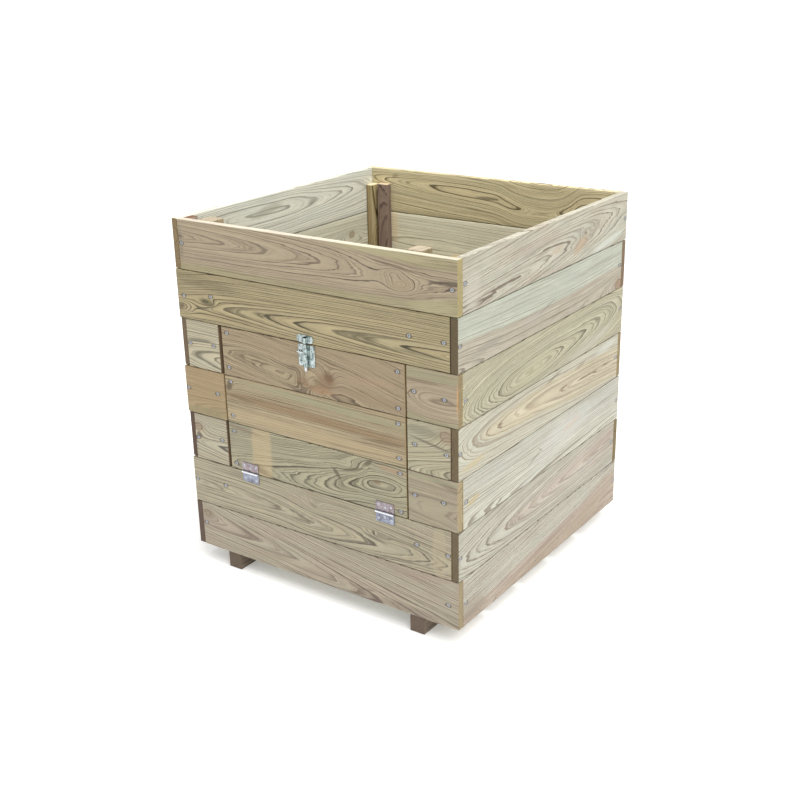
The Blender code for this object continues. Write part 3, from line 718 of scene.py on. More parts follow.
LOOK = {
    # ---- front
    "front_board_1": dict(
        sap=(192, 176, 136), heart=(197, 175, 146), late=(104, 86, 74), end=(158, 146, 104), tint=(190, 170, 146),
        D=((18, 12), (200, 20), (470, 38), (650, 52), (790, 58)), Y=((18, 806), (300, 802), (470, 797), (650, 786), (790, 793)),
        heart_r=65, w=11.0, q=0.13, warp=4.5, fine=2.4, strength=0.75, heart_strength=0.75, thin=0.34,
        knots=((633, 797, 0, -15, 24, 12), (650, 776, 0, -22, 32, 15)), lines=0.46, blotch=0.15,
        stains=((772, 794, 42, 5, 3, (92, 76, 64), 0.78, 1.0), (640, 812, 60, 3, -8, (116, 94, 78), 0.5, 1.0), (24, 790, 9, 40, 0, (140, 124, 106), 0.45, 1.0),
                (652, 776, 26, 12, 0, (186, 160, 126), 0.35, 1.0), (600, 838, 150, 8, -2, (206, 190, 150), 0.5, 1.0), (730, 742, 60, 14, 4, (204, 192, 150), 0.4, 1.0), (120, 760, 90, 6, 2, (170, 148, 128), 0.4, 1.0)),
    ),
    "front_board_2": dict(
        sap=(200, 186, 140), heart=(186, 164, 116), late=(84, 76, 54), end=(98, 84, 60), tint=(204, 190, 136),
        D=((0, 44), (253, 34), (540, 21), (771, 12)), Y=((0, 634), (253, 647), (540, 645), (771, 640)),
        w=10.5, q=0.20, warp=2.4, fine=1.2, strength=1.05, heart_strength=0.9, lines=0.55,
        knots=((10, 634, 0, -16, 30, 15), (92, 655, 0, 10, 26, 8)),
        stains=((8, 634, 14, 8, 20, (80, 70, 50), 0.6, 1.0), (94, 655, 24, 9, -8, (92, 84, 58), 0.65, 1.0), (262, 650, 26, 6, -4, (104, 96, 68), 0.6, 1.0), (700, 634, 60, 5, -2, (104, 98, 72), 0.5, 1.0), (560, 646, 30, 5, -3, (112, 104, 74), 0.5, 1.0),
                (90, 700, 110, 16, -5, (110, 100, 72), 0.30, 1.0)),
    ),
    "front_stub_left_3": dict(
        PALE, sap=(208, 202, 168), late=(104, 100, 80), D=((22, 40), (124, 30)), Y=((22, 520), (124, 514)), w=8.0, q=0.06, warp=3.0, strength=0.95,
        stains=((60, 556, 46, 5, 3, (104, 104, 86), 0.7, 1.0),), blotch=0.08,
    ),
    "front_stub_left_4": dict(
        PEACH, sap=(196, 172, 126), heart=(206, 172, 130), late=(140, 112, 78), D=((0, 60), (130, 52)), Y=((0, 380), (130, 372)), w=6.5, q=0.02, strength=0.42, warp=2.5,
        stains=((60, 372, 90, 14, 3, (168, 156, 112), 0.55, 1.0),), blotch=0.06,
    ),
    "front_stub_left_5": dict(
        PALE, sap=(206, 196, 162), late=(106, 98, 82), D=((22, 30), (126, 22)), Y=((22, 290), (126, 286)), w=8.5, q=0.08, warp=3.5, strength=0.9,
        knots=((30, 328, 9, -16, 30, 20),), knot=(180, 158, 128), knot_dark=(92, 72, 66), rim=0.8, knot_amount=0.6,
    ),
    "hatch_board_top": dict(
        sap=(196, 178, 140), heart=(196, 168, 132), late=(104, 86, 64), end=(150, 130, 94), tint=(204, 176, 142),
        D=((133, 50), (200, 47), (330, 44), (384, 38), (449, 40), (656, 44)), Y=((133, 543), (200, 539), (384, 508), (449, 500), (656, 452)),
        w=5.4, q=0.05, warp=1.8, fine=1.3, strength=0.75, heart_strength=0.6, thin=0.22, lines=0.70,
        knots=((384, 511, 0, 17, 36, 26), (449, 532, 0, 19, 26, 24)),
        stains=((451, 535, 13, 15, 20, (100, 70, 48), 0.62, 1.3), (440, 520, 32, 22, 30, (150, 112, 78), 0.50, 1.2), (384, 511, 30, 13, -10, (160, 128, 92), 0.6, 1.3), (366, 506, 10, 4, 0, (116, 90, 62), 0.55, 1.2),
                (430, 498, 36, 9, 0, (188, 142, 100), 0.45, 1.0), (560, 545, 70, 10, 4, (202, 166, 134), 0.30, 1.0), (400, 514, 12, 8, 0, (206, 188, 150), 0.5, 1.0), (580, 506, 120, 14, -3, (168, 142, 110), 0.4, 1.0), (205, 539, 30, 2.5, -5, (120, 98, 72), 0.4, 1.0)),
    ),
    "hatch_board_middle": dict(
        sap=(200, 186, 142), heart=(198, 168, 124), late=(104, 88, 62), end=(150, 130, 94), tint=(186, 182, 142),
        D=((133, 46), (400, 40), (656, 30)), Y=((133, 350), (656, 340)),
        w=4.6, q=0.02, warp=3.0, fine=1.0, strength=1.15, heart_strength=0.5, lines=0.80, blotch=0.15,
        knots=((140, 458, 0, 14, 24, 14),),
        stains=((146, 457, 9, 13, -30, (86, 70, 50), 0.7, 1.0), (400, 428, 330, 12, -1.6, (146, 112, 72), 0.45, 1.0), (330, 386, 360, 20, -0.6, (208, 186, 140), 0.45, 0.8), (430, 466, 260, 9, -1.6, (172, 172, 132), 0.5, 1.0),
                (600, 412, 60, 5, 2, (110, 88, 60), 0.5, 1.0), (180, 432, 50, 4, -4, (110, 96, 66), 0.5, 1.0)),
    ),
    "hatch_board_bottom": dict(
        sap=(192, 186, 150), heart=(184, 178, 138), late=(96, 90, 68), end=(130, 116, 84), tint=(176, 178, 148),
        D=((133, 60), (380, 44), (520, 26), (585, 18), (656, 26)), Y=((133, 262), (400, 270), (577, 306), (656, 308)),
        w=6.6, q=0.03, warp=3.0, fine=1.8, strength=1.05, heart_strength=0.6, thin=0.16, lines=0.65, blotch=0.15,
        knots=((500, 330, 0, 16, 34, 14), (552, 350, 0, -8, 16, 10)),
        stains=((236, 302, 31, 200, 0, (216, 192, 142), 0.46, 0.45), (577, 311, 10, 7, 0, (118, 86, 58), 0.5, 1.3), (462, 306, 16, 6, -50, (90, 86, 62), 0.7, 1.0), (552, 352, 14, 6, 40, (88, 80, 58), 0.7, 1.0), (508, 326, 36, 4, 16, (94, 86, 62), 0.6, 1.0),
                (620, 350, 44, 7, -4, (186, 150, 112), 0.45, 1.0), (160, 300, 30, 60, 0, (166, 160, 132), 0.3, 1.0), (170, 352, 60, 5, -4, (140, 118, 92), 0.5, 1.0)),
    ),
    "front_stub_right_3": dict(
        TAN, sap=(184, 172, 136), heart=(194, 174, 144), late=(116, 94, 74), D=((659, 30), (752, 15), (790, 17)), Y=((659, 540), (752, 537), (790, 538)), heart_r=46, w=6.4, q=0.04, warp=4.0, fine=1.8,
        strength=0.5, heart_strength=0.62, thin=0.2, stains=((720, 590, 80, 9, -2, (172, 162, 128), 0.6, 0.8), (700, 574, 50, 4, 0, (134, 114, 88), 0.55, 1.0), (788, 548, 2.2, 34, 0, (222, 168, 110), 0.75, 1.0)),
    ),
    "front_stub_right_4": dict(
        PALE, sap=(202, 196, 156), late=(108, 102, 80), D=((659, 40), (771, 24)), Y=((659, 360), (771, 372)), w=9.0, q=0.08, warp=5.0, strength=0.85,
        knots=((760, 461, 11, -20, 34, 24),), knot=(176, 158, 130), knot_dark=(112, 92, 78), knot_amount=0.55, rim=0.5,
        stains=((700, 462, 44, 12, -4, (146, 142, 114), 0.6, 1.0), (722, 436, 60, 3.5, -10, (110, 96, 76), 0.6, 1.0)),
    ),
    "front_stub_right_5": dict(
        BROWN, sap=(196, 178, 146), heart=(192, 166, 138), late=(128, 102, 82), D=((659, 50), (790, 44)), Y=((659, 290), (790, 280)), w=9.0, q=0.03, strength=0.45, warp=4.0,
        stains=((770, 345, 60, 7, -14, (132, 108, 90), 0.45, 1.0), (730, 354, 70, 5, 0, (186, 178, 140), 0.5, 1.0), (788, 300, 2.4, 50, 0, (206, 174, 130), 0.7, 1.0)),
        end=(158, 142, 110),
    ),
    "front_board_6": dict(
        sap=(194, 188, 150), heart=(190, 174, 138), late=(104, 96, 76), end=(124, 108, 80), tint=(196, 176, 146),
        D=((0, 27), (260, 31), (443, 39), (562, 46), (771, 58)), Y=((0, 176), (260, 172), (443, 156), (562, 158), (771, 150)),
        w=7.6, q=0.06, warp=2.4, fine=1.6, strength=0.78, heart_strength=0.6, thin=0.18, lines=0.65, blotch=0.16,
        knots=((390, 206, 0, 12, 34, 13), (570, 172, 0, 6, 46, 12)),
        stains=((564, 168, 34, 4, -10, (100, 96, 80), 0.55, 1.0), (387, 205, 12, 5, -20, (104, 96, 74), 0.4, 1.0), (740, 180, 18, 80, 0, (196, 184, 142), 0.40, 0.35), (200, 178, 30, 6, -4, (128, 116, 96), 0.35, 1.0)),
    ),
    "front_board_7": dict(
        sap=(197, 184, 153), heart=(198, 178, 151), late=(116, 98, 82), end=(146, 132, 104), tint=(194, 168, 144), tint_amount=0.65,
        D=((18, 26), (100, 30), (197, 36), (400, 44), (790, 62)), Y=((18, 84), (197, 62), (400, 30), (790, -14)),
        w=6.4, q=0.02, warp=2.4, fine=1.3, strength=0.85, heart_strength=0.5, thin=0.20, lines=0.72, speckle=0.4, blotch=0.17,
        knots=((37, 92, 8, -10, 30, 14),), knot=(150, 138, 108), knot_dark=(86, 76, 60), knot_amount=0.5, rim=0.6,
        stains=((650, 12, 130, 10, 0, (140, 118, 102), 0.45, 1.2), (540, 26, 20, 4, 10, (124, 106, 90), 0.5, 1.0), (230, 28, 90, 10, 4, (170, 146, 118), 0.3, 1.0), (755, 60, 22, 60, 0, (182, 172, 146), 0.2, 1.0)),
    ),
    # ---- right
    "right_board_1": dict(
        sap=(212, 208, 188), heart=(211, 199, 179), late=(130, 114, 98), end=(168, 150, 112), tint=(208, 188, 166), tint_amount=0.5,
        D=((18, 30), (250, 31), (433, 38), (600, 50), (790, 66)), Y=((18, 736), (250, 756), (433, 776), (600, 792), (790, 812)),
        w=8.4, q=0.05, warp=3.2, fine=2.4, strength=0.75, heart_strength=0.75, thin=0.28, speckle=0.55, lines=0.58, blotch=0.24,
        knots=((562, 787, 0, 10, 24, 10),),
        stains=((538, 764, 38, 12, 24, (202, 174, 140), 0.6, 1.0), (562, 788, 9, 6, 0, (140, 122, 106), 0.6, 1.0), (690, 742, 90, 9, 7, (226, 228, 214), 0.75, 0.8), (350, 782, 40, 4, 6, (164, 146, 126), 0.5, 1.0), (420, 776, 30, 8, 6, (204, 178, 150), 0.5, 1.0), (300, 806, 120, 10, 4, (190, 174, 158), 0.4, 1.0), (60, 770, 30, 40, 0, (218, 208, 196), 0.4, 1.0)),
    ),
    "right_board_2": dict(
        sap=(211, 213, 197), heart=(205, 194, 175), late=(140, 128, 112), end=(96, 84, 62), tint=(208, 198, 182),
        D=((0, 30), (400, 40), (757, 26)), Y=((0, 610), (400, 604), (771, 608)),
        heart_r=66, w=7.0, q=0.03, warp=4.0, fine=1.8, strength=0.6, heart_strength=1.0, thin=0.25, speckle=0.5, blotch=0.22, lines=0.55,
        knots=((757, 617, 13, -18, 46, 26),), knot=(186, 158, 128), knot_dark=(120, 92, 70), knot_amount=0.75, rim=0.5,
        stains=((120, 636, 60, 10, 4, (160, 154, 142), 0.45, 1.0), (330, 645, 60, 8, 6, (192, 182, 172), 0.5, 1.0), (380, 655, 40, 3, 14, (140, 130, 116), 0.4, 1.0), (560, 650, 120, 5, 5, (176, 156, 138), 0.4, 1.0)),
    ),
    "right_board_3": dict(
        sap=(202, 197, 164), heart=(200, 192, 154), late=(108, 102, 76), end=(160, 146, 104), tint=(196, 194, 158),
        D=((18, 60), (163, 30), (310, 10), (500, 24), (640, 34), (790, 56)), Y=((18, 506), (310, 521), (640, 548), (790, 562)),
        w=5.8, q=0.02, warp=3.0, fine=2.2, strength=1.0, heart_strength=0.9, thin=0.18, blotch=0.20, lines=0.60,
        stains=((310, 520, 14, 9, 10, (150, 140, 104), 0.6, 1.0), (640, 552, 10, 6, 0, (128, 120, 90), 0.5, 1.0), (300, 520, 110, 16, 8, (204, 198, 158), 0.35, 1.0), (600, 500, 130, 16, 8, (208, 204, 184), 0.4, 1.0)),
    ),
    "right_board_4": dict(
        sap=(212, 202, 176), heart=(210, 192, 158), late=(146, 122, 94), end=(106, 92, 68), tint=(214, 200, 172),
        D=((0, 60), (117, 42), (229, 34), (500, 22), (790, 18)), Y=((0, 430), (229, 434), (500, 424), (790, 410)),
        heart_r=44, w=7.0, q=0.03, warp=3.4, fine=1.8, strength=0.95, heart_strength=0.85, thin=0.22, speckle=0.55, blotch=0.22, lines=0.62,
        stains=((60, 386, 50, 8, 4, (206, 178, 124), 0.5, 1.0), (420, 470, 36, 4, 10, (124, 106, 82), 0.6, 1.0), (560, 460, 26, 4, 8, (146, 126, 100), 0.5, 1.0), (330, 424, 130, 12, 3, (216, 192, 152), 0.35, 1.0), (700, 466, 60, 10, 6, (220, 214, 196), 0.4, 1.0)),
    ),
    "right_board_5": dict(
        sap=(214, 214, 192), heart=(212, 204, 178), late=(150, 142, 120), end=(150, 136, 98), tint=(206, 216, 200),
        D=((18, 66), (400, 52), (790, 40)), Y=((18, 250), (400, 236), (790, 230)), w=5.6, q=0.02, warp=3.0, fine=1.4, strength=1.15, heart_strength=0.6, thin=0.16, blotch=0.24, lines=0.80, speckle=0.4,
        stains=((500, 312, 150, 30, 6, (222, 224, 210), 0.35, 1.3), (335, 296, 30, 3.5, 16, (150, 142, 122), 0.65, 1.0), (364, 306, 12, 2.5, -34, (150, 142, 122), 0.6, 1.0), (60, 300, 26, 8, 10, (202, 180, 112), 0.5, 1.0), (520, 320, 50, 10, 8, (212, 186, 156), 0.35, 1.0)),
    ),
    "right_board_6": dict(
        sap=(206, 202, 178), heart=(206, 196, 174), late=(136, 124, 102), end=(104, 92, 70), tint=(200, 202, 180),
        D=((0, 60), (119, 48), (330, 32), (560, 20), (771, 12)), Y=((0, 164), (119, 168), (400, 178), (771, 198)),
        heart_r=42, w=6.4, q=0.03, warp=3.0, fine=2.0, strength=1.15, heart_strength=0.95, thin=0.18, speckle=0.7, blotch=0.24, lines=0.75,
        stains=((480, 188, 300, 13, 4.0, (196, 178, 154), 0.4, 0.8), (700, 205, 90, 16, 6, (178, 158, 138), 0.45, 1.0), (150, 176, 60, 6, 6, (160, 158, 140), 0.4, 1.0)),
    ),
    "right_board_7": dict(
        sap=(206, 203, 182), heart=(202, 186, 166), late=(130, 112, 98), end=(140, 120, 94), tint=(194, 174, 156), dirt=(120, 98, 84),
        D=((18, 50), (476, 34), (790, 30)), Y=((18, -10), (300, 0), (790, 40)), heart_r=60, w=6.4, q=0.03, warp=3.4, fine=1.8, strength=0.95, heart_strength=0.8, thin=0.2, dots_at=0.55,
        blotch=0.28, speckle=0.75, lines=0.75, stains=((420, -2, 470, 46, 2.5, (168, 150, 124), 0.50, 1.3), (500, 24, 260, 20, 3.0, (174, 155, 130), 0.35, 1.2), (700, 60, 120, 36, 10, (178, 160, 136), 0.45, 1.2), (60, 30, 60, 34, 0, (152, 136, 114), 0.5, 1.2), (400, 40, 200, 8, 6, (150, 126, 110), 0.35, 1.2)),
    ),
    # ---- seen from inside
    "back_board_1": dict(
        inner=True, sap=(202, 190, 140), heart=(190, 168, 116), late=(100, 90, 60), end=(170, 156, 116), tint=(184, 176, 124),
        D=((0, 30), (145, 20), (403, 10), (560, 18), (682, 8), (790, 30)), Y=((0, 822), (145, 812), (403, 797), (560, 770), (682, 812), (790, 820)),
        w=7.6, q=0.05, warp=4.0, fine=1.6, strength=1.0, heart_strength=0.9, thin=0.20, lines=0.6, blotch=0.16,
        stains=((395, 793, 36, 5, 0, (92, 84, 58), 0.7, 1.0), (640, 772, 30, 8, 16, (96, 86, 58), 0.5, 1.0), (95, 827, 12, 5, 20, (110, 96, 66), 0.5, 1.0)),
    ),
    "back_board_2": dict(
        inner=True, sap=(200, 196, 164), heart=(192, 184, 148), late=(122, 118, 96), end=(120, 100, 78), tint=(188, 194, 168),
        D=((0, 40), (790, 34)), Y=((0, 650), (790, 630)), w=6.5, q=0.03, warp=5.0, strength=0.6, heart_strength=0.5,
        stains=((90, 690, 12, 60, 0, (196, 176, 128), 0.5, 1.0),),
    ),
    "left_board_1": dict(
        inner=True, sap=(210, 206, 182), heart=(204, 198, 166), late=(126, 122, 104), end=(130, 112, 82), tint=(196, 204, 186),
        D=((0, 26), (180, 14), (335, 9), (500, 24), (790, 46)), Y=((0, 806), (335, 801), (790, 800)), w=9.0, q=0.06, warp=6.0, fine=1.6, strength=0.7, heart_strength=0.6,
        stains=((320, 806, 60, 12, 8, (146, 142, 116), 0.5, 1.0),),
    ),
    "left_board_2": dict(
        inner=True, sap=(206, 204, 180), heart=(200, 192, 164), late=(132, 126, 108), end=(120, 100, 76), tint=(190, 196, 176),
        D=((0, 40), (790, 30)), Y=((0, 660), (790, 650)), w=8.0, q=0.04, warp=6.0, strength=0.6, heart_strength=0.5,
        knots=((666, 674, 8, -14, 40, 18),), knot=(140, 124, 96), knot_dark=(86, 74, 58), knot_amount=0.5,
    ),
    # ---- dark ends of the side walls
    "left_board_3": dict(end=(110, 96, 76)),
    "left_board_5": dict(end=(92, 74, 62)),
    "left_board_7": dict(end=(96, 80, 70)),
    # its top end grain, darkened further as painted shade where it sits below the front rim
    "corner_batten_front_left": dict(end=(110, 78, 58)),
    "corner_batten_back_left_side": dict(sap=(196, 178, 126), heart=(176, 152, 100), late=(96, 78, 48), end=(206, 190, 156), strength=0.9),
    "corner_batten_back_left_rear": dict(sap=(150, 128, 110), heart=(140, 116, 100), late=(84, 66, 58), end=(190, 170, 140), tint=(132, 110, 98)),
    "jamb_post_left": dict(end=(156, 143, 120), sap=(190, 172, 132), heart=(180, 154, 114)),
    "jamb_post_right": dict(end=(162, 149, 126), sap=(196, 176, 134), heart=(182, 156, 114)),
    "runner_left": dict(D=((0, 64), (1, 58)), Y=((0, -34), (1, -28)), end=(104, 91, 78), sap=(144, 128, 108), heart=(132, 114, 94), late=(84, 68, 58), tint=(120, 104, 92)),
    "runner_right": dict(D=((0, 60), (1, 66)), Y=((0, 36), (1, 30)), end=(106, 92, 80), sap=(146, 130, 110), heart=(134, 116, 96), late=(84, 68, 58), tint=(120, 104, 92)),
}
TONE_AND_PAINTED_LIGHT = {  # the whole board's tone; on the back and left boards, seen from inside, also painted light
    "front_board_1": (0.69, 0.74, 0.75),
    "front_board_2": (0.72, 0.72, 0.79),
    "front_stub_left_3": (0.79, 0.76, 0.81),
    "front_stub_left_4": (0.62, 0.65, 0.72),
    "front_stub_left_5": (0.72, 0.73, 0.80),
    "hatch_board_top": (0.65, 0.66, 0.71),
    "hatch_board_middle": (0.72, 0.72, 0.82),
    "hatch_board_bottom": (0.74, 0.73, 0.81),
    "front_stub_right_3": (0.70, 0.74, 0.78),
    "front_stub_right_4": (0.73, 0.72, 0.80),
    "front_stub_right_5": (0.63, 0.70, 0.75),
    "front_board_6": (0.74, 0.73, 0.85),
    "front_board_7": (0.73, 0.78, 0.87),
    "right_board_1": (0.69, 0.71, 0.72),
    "right_board_2": (0.67, 0.69, 0.68),
    "right_board_3": (0.74, 0.74, 0.80),
    "right_board_4": (0.74, 0.82, 0.91),
    "right_board_5": (0.75, 0.75, 0.82),
    "right_board_6": (0.74, 0.75, 0.83),
    "right_board_7": (0.77, 0.79, 0.84),
    # back and left boards, seen from inside: lightened as painted light for the light falling into the box
    "back_board_1": (1.10, 1.11, 1.35),
    "back_board_2": (1.23, 1.21, 1.36),
    "left_board_1": (0.99, 1.02, 1.16),
    "left_board_2": (0.87, 0.86, 0.88),
}
WANE = {"front_stub_right_3": (0.0, 2.6), "front_stub_right_5": (0.0, 3.4), "front_board_1": (0.0, 0.6)}
RAGGED = {"left_board_5": (0.0, 1.0), "left_board_3": (0.0, 0.5), "front_stub_right_5": (0.0, 0.5), "front_stub_right_3": (0.0, 0.4)}


def local_look(node, way, look, dims):
    """Wall coordinates to the board's own."""
    spec = dict(look)
    if way not in ("front", "right", "back", "left"):
        return spec
    lo, hi = node_box(node)
    middle = (lo.z + hi.z) / 2
    if "D" in spec:
        spec["D"] = sorted((along(node, way, u) / dims[0], d) for u, d in spec["D"])
    if "Y" in spec:
        spec["Y"] = sorted((along(node, way, u) / dims[0], v - middle) for u, v in spec["Y"])
    flip = -1 if way in ("back", "left") else 1
    spec["knots"] = tuple((along(node, way, k[0]), k[1] - middle, *k[2:]) for k in spec.get("knots", ()))
    spec["stains"] = tuple((along(node, way, k[0]), k[1] - middle, k[2], k[3], k[4] * flip, *k[5:]) for k in spec.get("stains", ()))
    return spec


def chance(seed):
    """A fixed number 0..1 for a seed."""
    return (math.sin(seed * 12.9898) * 43758.5453) % 1.0


def make_wood(node, way, body, seed, holes=(), normal_r=1.5, step=6.0):
    obj_matrix, dims = lie(node, way)
    length, height, thick = dims
    old = frame["nodes"][node].data.materials[0].name.split(".")[0]
    look = dict(TONES.get(old, TAN))
    given = LOOK.get(node, {})
    look.update(given)
    look["tone_and_light"] = TONE_AND_PAINTED_LIGHT.get(node, (0.78, 0.79, 0.83))
    if "D" not in given:
        a, b, c = chance(seed), chance(seed + 0.37), chance(seed + 0.71)
        look["D"] = ((0.0, 12 + 46 * a), (0.5, 10 + 30 * b), (1.0, 12 + 46 * (1 - a)))
        look["Y"] = ((0.0, -30 + 50 * c), (0.5, -20 + 40 * a), (1.0, -30 + 50 * b))
        look.setdefault("w", 6.0 + 3.0 * c)
        if length > 400 and b > 0.35:
            look["knots"] = ((length * (0.2 + 0.6 * c), -30 + 60 * a, 6 + 7 * b, -12, 34, 20),)
            look["knot_amount"] = 0.75
        spec = look
        if c > 0.5 and "heart_r" not in look:
            look["heart_r"] = 34 + 24 * a
    else:
        spec = local_look(node, way, look, dims)
    places = []
    for u, v in holes:
        lo, hi = node_box(node)
        places.append((along(node, way, u), v - (lo.z + hi.z) / 2))
    spec["holes"] = tuple(places)
    # painted highlight along the top edge of the front rim
    if node == "front_board_1":
        spec["painted_top_highlight"] = 0.35
    mesh = plank_mesh(length, height, thick, seed, normal_r, step, WANE.get(node, (0, 0)), RAGGED.get(node, (0, 0)))
    obj = object_of("wood_" + node, mesh)
    if places:
        bm = bmesh.new()
        for px, py in places:
            turned(bm, [(-8.0, 1.9), (-2.35, 2.0), (-0.55, 4.15), (0.9, 4.3)], (px, py, 0), (0, 0, 1), 24)
        carve(obj, object_of("cutter", bm))
    obj.data.materials.clear()
    obj.data.materials.append(pine("pine_" + node, length, height, thick, seed, spec))
    obj.matrix_world = obj_matrix
    shade(obj)
    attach(obj, body)
    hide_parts(node)
    if places:
        screws("screws_" + node, body, obj_matrix, [(px, py, 0.12) for px, py in places], TEMPLATE, SCREW_METAL, seed=seed)
    return obj


# ---------------------------------------------------------------- screw places, as in the CAD
FRONT_END_SCREWS = {
    1: (27.8, 776.0), 2: (20.6, 755.5), 3: (27.5, 755.5), 4: (9.5, 760.6), 5: (27.5, 752.0), 6: (11.6, 762.5), 7: (29.5, 762.0),
}
POST_SCREWS = {2: (108.0, 668.8), 3: (104.4, 679.0), 4: (105.2, 679.2), 5: (107.5, 676.9), 6: (108.0, 680.0)}
HATCH_SCREW_X = ((150.0, 638.0), (151.5, 637.0), (150.5, 638.5))
HATCH_SCREW_Z = (((589.0, 504.0), (584.0, 501.0)), ((468.0, 382.0), (465.0, 384.0)), ((341.0, 256.0), (348.0, 255.0)))
PHASE = {"right": 0.0, "back": 1.3, "left": 2.6}

TEMPLATE = screw_template()
SCREW_METAL = screw_metal("zinc_screw", -0.16, (186, 190, 198), (138, 144, 154))
SMALL_METAL = screw_metal("zinc_small_screw", 1.87, (226, 230, 236), (172, 178, 188))

seed = 1
for course in range(1, 8):
    middle = (7 - course) * PITCH + BOARD_H / 2
    wobble = 4.0 * math.sin(2.1 * course)
    left, right = FRONT_END_SCREWS[course]
    if course in (3, 4, 5):
        make_wood(f"front_stub_left_{course}", "front", "box", seed + 0.5, [(left, middle + wobble), (POST_SCREWS[course][0], middle + 5)])
        make_wood(f"front_stub_right_{course}", "front", "box", seed + 0.8, [(POST_SCREWS[course][1], middle + 4), (right, middle - wobble)])
    else:
        holes = [(left, middle + wobble), (right, middle - wobble)]
        if course in POST_SCREWS:
            holes += [(POST_SCREWS[course][0], middle + 5), (POST_SCREWS[course][1], middle + 4)]
        make_wood(f"front_board_{course}", "front", "box", seed, holes)
    for wall in ("right", "back", "left"):
        seed += 1
        name = f"{wall}_board_{course}"
        lo, hi = node_box(name)
        start, end = (lo.x, hi.x) if wall == "back" else (lo.y, hi.y)
        phase = PHASE[wall]
        wob = 5.0 * math.sin(1.7 * course + phase)
        lap_a = 10.0 + 3.0 * math.sin(2.9 * course + phase)
        lap_b = 12.0 + 3.0 * math.cos(2.3 * course + phase)
        make_wood(name, wall, "box", seed, [(start + lap_a, middle + wob), (end - lap_b, middle - wob)])
    seed += 1

for i, place in enumerate(("top", "middle", "bottom")):
    (zl, zr), (xl, xr) = HATCH_SCREW_Z[i], HATCH_SCREW_X[i]
    make_wood(f"hatch_board_{place}", "front", "hatch", 50 + i, [(xl, z) for z in zl] + [(xr, z) for z in zr])
for i, side in enumerate(("left", "right")):
    make_wood(f"hatch_batten_{side}", "post_front", "hatch", 60 + i)
    make_wood(f"jamb_post_{side}", "post_right", "box", 62 + i, step=10.0)
    make_wood(f"runner_{side}", "runner", "box", 64 + i, step=10.0)
for i, (name, way) in enumerate((
    ("front_left", "post_right"), ("front_right", "post_front"), ("back_left_side", "post_right"),
    ("back_left_rear", "post_front"), ("back_right_side", "post_right"), ("back_right_rear", "post_front"),
)):
    make_wood(f"corner_batten_{name}", way, "box", 70 + i, step=10.0)
for i in range(5):
    make_wood(f"floor_board_{i + 1}", "floor", "box", 80 + i, step=10.0)

# the small screws of the ironmongery
wall_matrix = frame_matrix(SHIFT * MM, X, Z, -Y)
for side, hx in (("left", 196.0), ("right", 596.0)):
    for leaf, body, sign in (("fixed_leaf", "box", -1), ("hatch_leaf", "hatch", 1)):
        spots = [(hx + dx, 241.8 + sign * dz, 1.98) for dx, dz in ((-17.5, 16.5), (0.0, 11.5), (17.5, 16.5))]
        screws(f"screws_hinge_{side}_{leaf}", body, wall_matrix, spots, TEMPLATE, SMALL_METAL, scale=0.74, seed=hx * 0.01 + sign)
screws("screws_bolt_housing", "hatch", wall_matrix, [(376.3, 594.5, 2.08), (376.5, 557.5, 2.08), (407.5, 594.5, 2.08), (407.5, 557.5, 2.08)], TEMPLATE, SMALL_METAL, scale=0.74, seed=3.1)
screws("screws_bolt_keeper", "box", wall_matrix, [(374.0, 615.5, 2.08), (404.5, 615.5, 2.08)], TEMPLATE, SMALL_METAL, scale=0.74, seed=5.3)
bpy.data.objects.remove(TEMPLATE, do_unlink=True)


# ---------------------------------------------------------------- ironmongery
def zinc(name, base=(214, 218, 224), dark=(150, 156, 168), warm=(214, 160, 118), tarnish_and_reflection_amount=0.0, rough=0.34, painted_knuckle_highlight_z=None, metallic=0.92):
    g = Net(name)
    co = g.node("ShaderNodeTexCoord").outputs["Object"]
    p = g.affine(co, (1000.0,) * 3)
    cloud = g.noise(g.affine(p, (0.16, 0.16, 0.16)), 3.0, 0.6)
    spangle = g.noise(g.affine(p, (0.7, 0.7, 0.7), (3, 5, 7)), 2.0, 0.5)
    scratch = g.noise(g.affine(p, (0.35, 3.0, 3.0), (1, 2, 3)), 2.0, 0.7)
    # painted shade and light: stripes along z standing in for folded ridges in the metal
    painted_ridge_shade = g.noise(g.affine(p, (0.62, 0.62, 0.05), (8, 2, 9)), 1.0, 0.5)
    tone = g.mix(g.mul(g.step(cloud, 0.35, 0.65, 0.35, 1.0), g.step(painted_ridge_shade, 0.36, 0.60, 0.35, 1.0)), srgb(*base), srgb(*dark))
    # warm patches: tarnish, and on the hatch leaf mostly a painted reflection of the orange wood
    if tarnish_and_reflection_amount:
        tone = g.mix(g.mul(g.step(spangle, 0.42, 0.62), tarnish_and_reflection_amount), tone, srgb(*warm))
    # painted highlight: a bright band along the hinge's knuckle
    if painted_knuckle_highlight_z is not None:
        off = g.math("ABSOLUTE", g.sub(g.split(p)[2], painted_knuckle_highlight_z))
        tone = g.mix(g.step(off, 1.6, 2.6, 1.0, 0.0), tone, srgb(236, 238, 242))
    g.put(g.bsdf.inputs["Base Color"], g.shade(tone, g.add(1.0, g.centred(scratch, 0.12))))
    g.put(g.bsdf.inputs["Roughness"], g.add(rough, g.centred(spangle, 0.12), g.centred(scratch, 0.08)))
    g.bsdf.inputs["Metallic"].default_value = metallic
    bump = g.node("ShaderNodeBump")
    bump.inputs["Strength"].default_value = 0.25
    bump.inputs["Distance"].default_value = 0.0004
    g.put(bump.inputs["Height"], g.add(spangle, g.mul(scratch, 0.4)))
    g.put(g.bsdf.inputs["Normal"], bump.outputs[0])
    return g.mat


